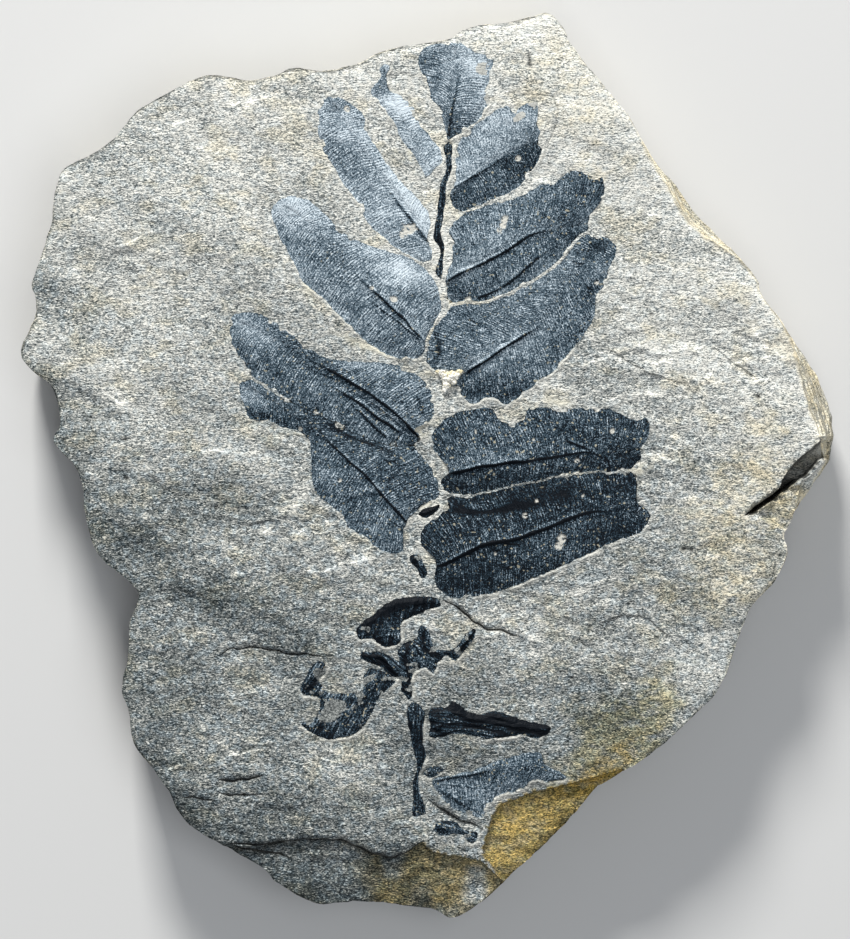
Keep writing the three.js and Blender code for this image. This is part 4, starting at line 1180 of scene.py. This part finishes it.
def fold_at(name, x, y):
    """Height, and the painted shade and highlight that the folds give one film, at each place."""
    height, tone = np.zeros(np.shape(x)), np.zeros(np.shape(x))
    for points, half_width, crest, dark, pale in FOLDS.get(name, []):
        path = even_steps(smooth_path(points, 60), 0.12)
        side = sideways(path)
        side *= np.where(side[:, 1:2] > 0, -1, 1)
        share = np.linspace(0, 1, len(path))
        force = ramp(share, -0.02, 0.06) * ramp(share, 1.03, 0.55)
        number, distance = nearest(path, np.ravel(x), np.ravel(y))
        away = np.ravel(x) - path[number, 0], np.ravel(y) - path[number, 1]
        below = (side[number, 0] * away[0] + side[number, 1] * away[1]).reshape(np.shape(x))
        distance, strength = distance.reshape(np.shape(x)), force[number].reshape(np.shape(x))
        broken = 1 + 0.35 * lumps(x, y, 1.1, 1.1, 67)
        height += 0.7 * crest * strength * np.exp(-((distance / (1.1 * half_width)) ** 2))
        off_path = distance > np.abs(below) + 0.25
        dark_side = np.exp(-(((below - 0.3 * half_width) / (0.62 * half_width * broken)) ** 2))
        pale_side = 0.6 * np.exp(-(((below + 0.9 * half_width) / (0.6 * half_width)) ** 2))
        change = pale * pale_side - dark * dark_side
        tone += strength * np.where(off_path, change * np.exp(-((distance / half_width) ** 2)), change)
    return height, tone


# Places where a speck of film has flaked off the stone: place and radius.
WORN_SPOTS = [
    (-11.5, 49.6, 0.5), (-2.8, 32.9, 0.9), (-3.5, 32.2, 0.6), (10.6, 34.2, 0.45), (10.3, 33.4, 0.4),
    (9.8, 32.6, 0.35), (18.5, -10.6, 0.6), (18.1, -11.4, 0.5), (13.4, -7.2, 0.4), (15.9, 42.6, 0.4),
    (12.4, 42.8, 0.35), (5.4, 22.9, 0.5), (-22.2, 19.9, 0.3), (-5, 23, 0.5), (-8, 24.6, 0.35),
    (20.7, 0.4, 0.35), (25.6, 4.6, 0.3), (9.2, -12.6, 0.25), (-12.5, -2.3, 0.3), (23.5, 25.4, 0.4),
    (15, -5.2, 0.25), (21.5, -4.4, 0.25), (-18, 4.9, 0.3), (6.5, 4.5, 0.2), (14.6, 3.4, 0.2),
]


def smooth_path(points, count):
    """An open smooth curve through points, as `count` + 1 places an equal way apart."""
    points = np.asarray(points, float)
    padded = np.vstack([2 * points[0] - points[1], points, 2 * points[-1] - points[-2]])
    dense = []
    for k in range(len(padded) - 3):
        for share in np.linspace(0, 1, 40, endpoint=False):
            dense.append(between_points(*padded[k:k + 4], share))
    dense.append(points[-1])
    return even_places(np.array(dense), count + 1)


def pick(path, share):
    """Places at shares (0 to 1) of the length of a path of equal steps."""
    at = np.asarray(share) * (len(path) - 1)
    return np.column_stack([np.interp(at, np.arange(len(path)), path[:, k]) for k in range(2)])


def film_edge_height(x, y, out):
    """Height of a film at its margin: level with the stone, a little below it on lower edges."""
    sunk = ramp(out @ np.array([0.35, -0.94]), -0.2, 0.7)
    return bedding(x, y) + 0.07 - 0.13 * sunk


def close_film(vertices, faces, edge):
    """Adds the thin side and the flat underside of a film to its upper surface."""
    vertices = list(vertices)
    start = len(vertices)
    for number in edge:
        vertices.append((vertices[number][0], vertices[number][1], FILM_FLOOR))
    count = len(edge)
    lower = list(range(start, start + count))
    for k in range(count):
        after = (k + 1) % count
        faces.append([edge[k], lower[k], lower[after], edge[after]])
    faces.append(lower[::-1])
    return vertices, faces


def worn_at(x, y):
    """How far the film is worn off at each place, from 0 to 1."""
    worn = np.zeros(np.shape(x))
    for spot_x, spot_y, radius in WORN_SPOTS:
        ragged = 1 + 0.3 * lumps(x, y, 0.6, 0.6, 61)
        worn = np.maximum(worn, ramp(np.hypot(x - spot_x, y - spot_y) * ragged / radius, 1.15, 0.75))
    return worn


# Patches where the film is missing inside its outline: place, half length, half width, turn.
BARE_PLACES = [
    (7.4, 55.4, 1.3, 0.9, 60), (8.6, 51.6, 0.9, 1.6, 0), (7.4, 58.6, 1.2, 0.7, 0),
    (-0.7, 51.2, 2.2, 0.8, -50), (-1.6, 48.7, 1.2, 0.6, -40), (-3.2, 53.2, 0.8, 0.6, 0),
    (-5.8, 46.6, 1.4, 0.5, -60),
    (12.6, 48.6, 1.4, 0.5, 30), (14.6, 50.4, 0.8, 0.6, 0), (-13.4, 51.6, 0.8, 0.4, 0),
    (-18.5, 38, 1.2, 0.5, -40),
    (22.5, -43.4, 3.0, 0.9, 0), (18.0, -42.0, 1.4, 0.5, 10), (3.0, -43.3, 2.0, 0.35, 8),
    (-13.6, -34.4, 2.2, 1.5, 40), (-15.2, -29.6, 0.8, 1.2, 0), (-8.8, -30.4, 1.6, 0.5, 40),
    (-1.6, -22.6, 1.3, 0.5, 60), (1.2, -25.6, 1.6, 0.4, 30), (1.6, -35.9, 1.6, 0.35, -10),
    (2.0, -34.0, 1.4, 0.5, -30), (-13.0, -31.6, 1.2, 0.8, 20),
]

# Broader patches where the film is painted paler or darker, partly its own thinner grey or thicker
# black film and partly painted sheen where it faces the light: place, half length, half width, turn
# in degrees and change of tone.
SHADES = [
    (-5.2, -23.4, 2.2, 1.6, -20, 0.26), (5.2, -37.6, 3.6, 0.9, -12, 0.3), (3.2, -35.6, 1.6, 0.5, -12, 0.2),
    (-3.6, 27.3, 3.4, 2, -25, 0.3), (-3, 23.6, 1.8, 1.5, 0, -0.12), (-8.5, 30, 5, 2, -40, 0.08),
    (-14, 31, 4, 3, -40, -0.12), (-19, 36, 6, 3.4, -40, 0.33), (-6, 18.5, 5, 2.5, -40, 0.0),
    (-3, 15.8, 3, 1.6, -10, -0.12), (0.5, 20.5, 1.5, 3, 20, -0.05),
    (-11.2, 50.4, 3.2, 1.2, -35, -0.22), (-12, 46.5, 2.4, 1.8, 0, 0.1), (-11, 42, 3.5, 2.4, -60, -0.16),
    (-1.8, 37, 5, 1.6, -55, 0.12), (-7.5, 36.5, 3.5, 1.6, -45, 0.02), (-2.8, 31.5, 3, 1.5, -35, -0.1),
    (-25, 18.5, 5, 2.6, -35, 0.34), (-18.5, 16.6, 7, 1.3, -33, -0.2), (-12, 12.6, 7, 1.4, -33, -0.12),
    (-11.5, 14.6, 6, 1.2, -20, 0.22), (-17.5, 17.8, 4, 1, -35, 0.2), (-5, 10, 3.5, 3, 0, 0.0),
    (-24.5, 15, 4, 1.8, -50, -0.1), (-16, 9.5, 4, 2, -30, 0.04), (-9, 5, 5, 1.5, -30, 0.06),
    (-25.5, 9.3, 3, 1.6, -30, 0.34), (-24, 6.9, 3, 0.8, -20, -0.25), (-19.5, 5.5, 3, 1, -15, -0.12),
    (-13, 5, 6, 1.4, -28, -0.14), (-8.7, 0.4, 2.6, 1.4, -20, 0.1), (-14, -1.8, 2, 1, 0, 0.14),
    (-3, -4, 3, 2.5, 0, -0.05), (-9, -8, 4, 2, -40, 0.06),
    (3.8, 47.8, 2.6, 3.4, 0, -0.22), (0.3, 57, 2.2, 1.8, 0, -0.1), (5.8, 56.5, 1.6, 3, 20, 0.2),
    (2.6, 55, 1.2, 3.5, -10, 0.1), (7.3, 55.5, 1.4, 2.6, 0, 0.1), (6, 50.5, 2, 1.5, 0, 0.05),
    (-4.4, 50.5, 2.6, 1.2, -40, 0.22), (-6.6, 52.4, 1.4, 1, 0, -0.3), (-6.4, 54.6, 0.9, 1.6, 0, -0.2),
    (-0.5, 44.4, 3, 1.4, -50, -0.16), (13, 41.5, 4, 2, 20, -0.12), (15, 50, 1, 0.8, 0, -0.15),
    (8, 47.5, 4, 2, 40, 0.08), (11, 37.5, 3.5, 1.2, 25, 0.05), (14.6, 46.5, 1.4, 2, 20, -0.12),
    (9, 33.5, 5, 2, 30, 0.1), (7.5, 29.6, 5, 1.2, 30, 0.2), (22, 38, 3, 2, 20, -0.16),
    (19, 31.6, 2.6, 1.2, 20, -0.2), (16, 34.6, 4, 1.5, 15, -0.06), (5, 27, 2, 1, 20, 0.18),
    (3.4, 24.6, 1.5, 1, 0, -0.2), (12, 27, 4, 1.2, 35, 0.06), (16.5, 26.5, 4, 1.2, 35, 0.08),
    (23.5, 30.4, 2.6, 1.8, 0, -0.22), (24.5, 27, 2, 1.6, 0, 0.12), (22.5, 22.5, 1.5, 3, 0, -0.14),
    (12, 15.8, 6, 1.2, 33, 0.12), (9, 16.5, 5, 2, 30, 0.08), (14, 12, 4, 2, 35, 0.02),
    (8, 10.5, 4, 2, 0, -0.16), (12, 9.8, 3, 1.4, 30, -0.14), (19, 20, 5, 2, 45, 0.06),
    (12, 4, 8, 2.5, 0, 0.05), (22, 5, 5, 2, 0, -0.08), (29, 4.5, 1.6, 3, 0, -0.05),
    (7, 0.9, 5, 1, 8, 0.16), (19, 0.4, 3, 0.8, 5, 0.14), (24, 2.5, 4, 1, -20, -0.14),
    (5, -8.5, 6, 2, 15, 0.1), (24, -3, 5, 1.6, -25, 0.14), (18, -4.5, 7, 1.4, 12, -0.12),
    (6, -11, 6, 0.9, 20, 0.14), (15, -11.5, 6, 2.5, 20, 0.08), (26, -9, 4, 1.4, 25, -0.12),
    (3, -16.5, 2.5, 1.5, 0, -0.12), (9, -15, 4, 2, 20, -0.04), (29, -7, 1.5, 1.5, 0, 0.12),
    (8, -46.4, 4, 1.6, -10, 0.12), (13.5, -42.5, 4, 1.3, 0, -0.1), (7.6, -43.5, 3, 0.8, 0, -0.12),
]


def bare_at(x, y):
    found = np.zeros(np.shape(x))
    for where in BARE_PLACES:
        found = np.maximum(found, ellipse(x, y, *where))
    return found + 0.2 * lumps(x, y, 1.0, 0.7, 68)


def shade_at(x, y):
    """Change of tone of the films at each place."""
    change = np.zeros(np.shape(x))
    for *where, amount in SHADES:
        change += amount * ellipse(x, y, *where)
    return change


# What the thin side and the underside of a leaflet carry: tone, wear, reach and vein.
UNDER_VALUES = (0.2, 0.0, 1.0, 0.0)


def leaflet(name):
    """One leaflet: its two halves lofted vein by vein, from the midrib out to the margin."""
    midrib_points, crest, tone_lit, tone_shaded = LEAFLETS[name]
    margin = margins[name]
    base = np.argmin(np.hypot(*(margin - midrib_points[0]).T))
    tip = np.argmin(np.hypot(*(margin - midrib_points[-1]).T))
    points = [tuple(margin[base])] + list(midrib_points[1:-1]) + [tuple(margin[tip])]
    midrib = smooth_path(points, 400)
    around = np.roll(margin, -base, 0)
    to_tip = (tip - base) % len(margin)
    first_side = around[: to_tip + 1]
    second_side = np.vstack([around[to_tip:], around[:1]])[::-1]
    longest = max(len(first_side), len(second_side)) * FILM_SPACING
    lines = int(longest / VEIN_SPACING * LINES_PER_VEIN)
    share = np.linspace(0, 1, lines + 1)
    along = MIDRIB_END * (0.12 * share + 0.88 * ramp(share, 0.04, 1.0) ** 0.85)
    roots = pick(midrib, along)
    ahead = pick(midrib, np.minimum(along + 0.01, 1)) - pick(midrib, np.maximum(along - 0.01, 0))
    ahead /= np.hypot(*ahead.T)[:, None]
    rows = np.linspace(0, 1, VEIN_ROWS) ** 1.15
    crest_here = crest * (1 - (along / MIDRIB_END) ** 3) * ramp(along, -0.12, 0.12)

    centre = midrib.mean(0)
    sheets, values = [], []
    for side in (first_side, second_side):
        ends = pick(side, share)
        out = ends - roots
        reach = np.hypot(*out.T)[:, None] + 1e-6
        out = out / reach
        forward = np.clip((np.sum(out * ahead, 1)[:, None] + 0.5) / 1.0, 0, 1)
        bend = 0.75 * forward * ahead + 0.6 * out
        control = roots + 0.42 * reach * bend
        t = rows[None, :, None]
        sheet = (1 - t) ** 2 * roots[:, None] + 2 * t * (1 - t) * control[:, None] + t**2 * ends[:, None]
        lit = (side.mean(0) - centre)[1] > 0
        t = rows[None, :]
        x, y = sheet[:, :, 0], sheet[:, :, 1]
        # The half towards the light gets a painted light tone, the other a painted shade tone.
        if lit:
            roof = crest_here[:, None] * (1 - t) ** 1.1
            tone = np.full(x.shape, tone_lit)
        else:
            roof = crest_here[:, None] * (0.25 * (1 - t) + 0.75 * np.clip(1 - t * 3.2, 0, 1) ** 1.3)
            tone = tone_shaded + 0.3 * (tone_lit - tone_shaded) * ramp(t, 0.3, 0.0) * np.ones(x.shape)
        roof = roof + 0.16 * np.sin(np.pi * t) ** 0.8
        vein = np.cos(2 * np.pi * share * lines / LINES_PER_VEIN)[:, None]
        clear = ramp(t, 0.0, 0.12) * (1 - 0.6 * ramp(t, 0.93, 1.0))
        roof = roof + VEIN_HEIGHT * vein * clear
        roof = roof + 0.05 * lumps(x, y, 2.6, 2.6, 62) + 0.02 * lumps(x, y, 0.6, 0.6, 63)
        rise = ramp(t, 1.0, 0.82)
        edge_out = sideways(ends)
        edge_out *= np.sign(np.sum(edge_out * out, 1))[:, None]
        edge_height = film_edge_height(ends[:, 0], ends[:, 1], edge_out)[:, None]
        base_height = bedding(x, y)
        sunk = (edge_height - base_height[:, -1:]) * ramp(t, 0.7, 1.0)
        worn = worn_at(x, y)
        fold_height, fold_shade_and_highlight = fold_at(name, x, y)
        z = FACE_HEIGHT + base_height + sunk + (roof + fold_height) * rise - 0.12 * worn
        tone = tone + fold_shade_and_highlight + shade_at(x, y)
        tone = tone + 0.05 * lumps(x, y, 4, 3, 64) + 0.06 * lumps(x, y, 1.6, 1.1, 65)
        sheets.append(np.dstack([x, y, z]))
        vein_number = share[:, None] * lines / LINES_PER_VEIN * np.ones(x.shape)
        values.append((tone, worn, t * reach, vein_number))

    def key(which, i, j):
        """What names a vertex: both halves share those on the midrib and at its two ends."""
        if i == 0:
            return ("base",)
        return (0 if j == 0 or i == lines else which, i, j)

    vertices, faces, carried, number = [], [], [], {}
    for which, (sheet, amounts) in enumerate(zip(sheets, values)):
        for i in range(lines + 1):
            for j in range(VEIN_ROWS):
                if key(which, i, j) not in number:
                    number[key(which, i, j)] = len(vertices)
                    vertices.append(tuple(sheet[i, j]))
                    carried.append([amount[i, j] for amount in amounts])

    for which in (0, 1):
        for i in range(lines):
            for j in range(VEIN_ROWS - 1):
                places = ((i, j), (i + 1, j), (i + 1, j + 1), (i, j + 1))
                corners = [number[key(which, *place)] for place in places]
                kept = [c for k, c in enumerate(corners) if c != corners[k - 1]]
                if len(set(kept)) >= 3:
                    faces.append(kept if which == 1 else kept[::-1])
    edge = [number[key(0, i, VEIN_ROWS - 1)] for i in range(lines + 1)]
    edge += [number[key(1, i, VEIN_ROWS - 1)] for i in range(lines - 1, 0, -1)]
    vertices, faces = close_film(vertices, faces, edge)
    carried += [UNDER_VALUES] * (len(vertices) - len(carried))
    piece = add_mesh(name + "_film", vertices, faces)
    for value_name, amounts in zip(("tone", "worn", "reach", "vein"), np.array(carried).T):
        set_value(piece, value_name, amounts)
    set_value(piece, "bare", bare_at(*np.array(vertices)[:, :2].T))
    return piece


# The carbon: black with pale blue-grey grains that lie thicker where the film is thin, drawn
# out in broken lines along the veins. Its tone also carries painted light: the lit and shaded
# halves, the painted shade and highlights of the folds, and painted sheen.
FULL_TURN = 6.283
carbon = Finish("carbon_film", specular=0.12)
film_place = carbon.place()
dust = carbon.noise(0.17, film_place, detail=0.0)
grain = carbon.noise(0.42, carbon.place(shift=5.7), detail=1.0)
dark_grain = carbon.noise(0.42, carbon.place(shift=23.1), detail=1.0)
blot = carbon.noise(1.3, film_place, detail=2.0)
along_veins = carbon.node("ShaderNodeCombineXYZ", {}, {
    "X": carbon.read("vein") + (blot - 0.5) * 0.8, "Y": carbon.read("reach") * 0.34,
})
streak = carbon.noise(0.55, along_veins, detail=1.0)
tone = carbon.read("tone")
grit = (dust - 0.5) * 1.0 + carbon.threads(grain, 0.08) * 0.24 - carbon.threads(dark_grain, 0.08) * 0.26
vein_wave = carbon.node("ShaderNodeMath", {"operation": "SINE"}, {
    0: (carbon.read("vein") + (blot - 0.5) * 0.7) * FULL_TURN,
})
grit = grit + (streak - 0.5) * (1.15 - tone * 0.8) - carbon.threads(streak, 0.05) * 0.14
grit = grit + (blot - 0.5) * 0.36
grit = grit + vein_wave * carbon.between(blot, 0.35, 0.6) * 0.13
grit = grit * carbon.between(tone, -0.2, 0.2) * (1.45 - tone * 0.8)
film_colour = carbon.ramp(tone + grit, [
    (0.0, paint(0.0018, 0.0038, 0.0068)), (0.25, paint(0.0145, 0.0335, 0.0505)),
    (0.5, paint(0.073, 0.108, 0.137)), (0.75, paint(0.225, 0.285, 0.33)),
    (1.0, paint(0.62, 0.70, 0.75)),
])
speck = carbon.between(carbon.noise(0.45, carbon.place(shift=41.3), detail=0.0), 0.735, 0.79)
speck = speck * (carbon.between(tone, 0.0, 0.2) - carbon.between(tone, 0.4, 0.7)) * 0.75
film_colour = carbon.mix(speck, film_colour, paint(0.46, 0.43, 0.32))
bare_stone = carbon.mix(carbon.between(dust + (grain - 0.5), 0.3, 0.7), paint(0.075, 0.085, 0.085),
                        paint(0.31, 0.325, 0.31))
bare_stone = carbon.mix(carbon.between(tone, 0.4, 0.7) * 0.7, bare_stone, paint(0.6, 0.6, 0.55))
film_colour = carbon.mix(carbon.between(carbon.read("bare") + (grain - 0.5) * 0.7, 0.4, 0.55), film_colour,
                         bare_stone)
film_colour = carbon.mix(carbon.read("worn") * carbon.between(grain, 0.3, 0.5), film_colour,
                         paint(0.6, 0.59, 0.53))
film_bump = carbon.bump(dust * 0.3 + grain * 0.7 + blot + streak, 0.14, 0.9)
carbon_material = carbon.finish(film_colour, 0.5 + blot * 0.2, film_bump)

for leaflet_name in LEAFLETS:
    film = leaflet(leaflet_name)
    film.data.materials.append(carbon_material)
    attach(film, "root")
    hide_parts(leaflet_name)


# ---- Stem, crumpled leaflets and scraps --------------------------------------------------
# Thicker, blacker flakes of carbon. The stem is a narrow band; the leaflets at the break in it
# are folded and crushed, so their surface is wrinkled along the fold.

CRUMPLE_SPACING = 0.3
WRINKLE_SPACING = 0.45

# Direction of the wrinkles in degrees, their height, the tone of the film, and how full of
# holes it is.
CRUMPLED = {
    "upper_stem": (88, 0.08, 0.12, 0.0),
    "lower_stem": (88, 0.12, 0.1, 0.02),
    "middle_stem": (100, 0.1, 0.06, 0.1),
    "stem_chip": (30, 0.06, -0.05, 0.0),
    "leaflet_stub": (20, 0.08, 0.34, 0.2),
    "leaf_scrap": (-20, 0.08, 0.25, 0.3),
    "curled_leaflet_top": (80, 0.12, 0.0, 0.05),
    "curled_leaflet_middle": (-40, 0.14, 0.14, 0.15),
    "curled_leaflet_left": (60, 0.12, 0.2, 0.18),
    "lower_leaflet_1": (-8, 0.14, 0.0, 0.0),
}


def crumpled_film(name):
    """One flake with its own outline, wrinkled along a direction."""
    direction, wrinkle, tone_here, holes = CRUMPLED[name]
    margin = margins[name]
    low, high = margin.min(0), margin.max(0)
    columns, rows = np.meshgrid(np.arange(low[0], high[0], CRUMPLE_SPACING * 0.6),
                                np.arange(low[1], high[1], CRUMPLE_SPACING * 0.6))
    places = np.column_stack([columns.ravel(), rows.ravel()])
    places = places + np.random.default_rng(71).uniform(-0.04, 0.04, places.shape)
    places = places[inside(*places.T, margin)]
    places = places[nearest(margin, *places.T)[1] > 0.1]
    flat, faces, ring_numbers = triangles_inside(margin, places)
    x, y = flat.T
    number, distance = nearest(margin, x, y)
    edge = film_edge_height(x, y, outward(margin)[number])
    along, across = turned(x, y, direction)
    wrinkles = lumps(along, across, 3.2, 0.55, 72) + 0.6 * lumps(along, across, 1.4, 0.3, 73)
    inner = ramp(distance, 0, 0.7)
    height = edge + inner * (0.25 + wrinkle * wrinkles)
    fold_height, fold_shade_and_highlight = fold_at(name, x, y)
    z = FACE_HEIGHT + height + inner * fold_height
    # The tone follows the wrinkles: painted shade in their troughs and a painted highlight on their
    # crests.
    tones = tone_here + fold_shade_and_highlight + shade_at(x, y) + 0.16 * wrinkles + 0.1 * lumps(x, y, 2.2, 1.6, 74)
    torn = ramp(lumps(x, y, 1.5, 1.0, 75) + 0.5 * lumps(x, y, 0.6, 0.5, 76), 0.75 - holes, 0.95 - holes)
    upper_faces = [list(face) for face in faces]
    vertices, all_faces = close_film(np.column_stack([x, y, z]), upper_faces, ring_numbers)
    below = np.zeros(len(vertices) - len(x))
    piece = add_mesh(name + "_film", vertices, all_faces)
    bare = np.maximum(0.62 * torn, bare_at(x, y)) * (holes > 0)
    for value_name, amounts in (("tone", tones), ("worn", np.zeros(len(x))), ("bare", bare),
                                ("reach", along), ("vein", across / WRINKLE_SPACING)):
        set_value(piece, value_name, np.concatenate([amounts, below]))
    return piece


for film_name in CRUMPLED:
    film = crumpled_film(film_name)
    film.data.materials.append(carbon_material)
    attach(film, "root")
    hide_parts(film_name)


# ---- Mineral patch ----------------------------------------------------------------------
# A chalky white crust in the notch of the third leaflet on the right.

chalk = Finish("white_mineral", specular=0.3)
chalk_grain = chalk.noise(0.3, chalk.place(), detail=3.0)
chalk_blot = chalk.noise(1.1, chalk.place(shift=4.0), detail=2.0)
chalk_colour = chalk.mix(chalk.between(chalk_grain, 0.35, 0.62), paint(0.62, 0.58, 0.46),
                         paint(0.95, 0.94, 0.88))
chalk_colour = chalk.tinted(chalk_colour, chalk.between(chalk_blot, 0.5, 0.62), paint(1.0, 0.93, 0.72))
chalk_material = chalk.finish(chalk_colour, 0.85, chalk.bump(chalk_grain, 0.15))

# Grains of the crust: place over the face, half length, half width, half height, turn in degrees.
CRUST_GRAINS = [
    (3.0, 12.2, 1.35, 0.75, 0.42, 12), (1.9, 12.5, 0.8, 0.5, 0.34, -35), (4.1, 12.7, 0.75, 0.4, 0.3, 30),
    (2.4, 11.2, 0.55, 0.8, 0.3, 10), (2.2, 10.5, 0.35, 0.6, 0.22, -12), (3.4, 11.5, 0.5, 0.4, 0.26, 50),
    (1.3, 12.9, 0.45, 0.25, 0.2, -20),
]
CRUST_LIFT = 0.5
CRUST_ROUGHNESS = 0.5
crust_texture = bpy.data.textures.new("crust_lumps", "CLOUDS")
crust_texture.noise_scale = 0.45 * MM
crust_texture.noise_depth = 2
grains = []
for grain_x, grain_y, half_length, half_width, half_height, turn in CRUST_GRAINS:
    bpy.ops.object.select_all(action="DESELECT")
    place = (grain_x * MM, grain_y * MM, (FACE_HEIGHT + bedding(grain_x, grain_y) + CRUST_LIFT) * MM)
    bpy.ops.mesh.primitive_ico_sphere_add(
        subdivisions=5, radius=1.0, location=place, rotation=(0, 0, math.radians(turn)),
        scale=(half_length * MM, half_width * MM, half_height * MM),
    )
    grains.append(bpy.context.active_object)
for grain_piece in grains:
    grain_piece.select_set(True)
bpy.context.view_layer.objects.active = grains[0]
bpy.ops.object.join()
crust = bpy.context.active_object
bpy.ops.object.transform_apply(location=True, rotation=True, scale=True)
crust.name = "mineral_crust"
lumpy = crust.modifiers.new("lumpy", "DISPLACE")
lumpy.texture = crust_texture
lumpy.texture_coords = "LOCAL"
lumpy.mid_level = 0.5
lumpy.strength = CRUST_ROUGHNESS * MM
crust.data.materials.append(chalk_material)
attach(crust, "root")
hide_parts("mineral_patch")
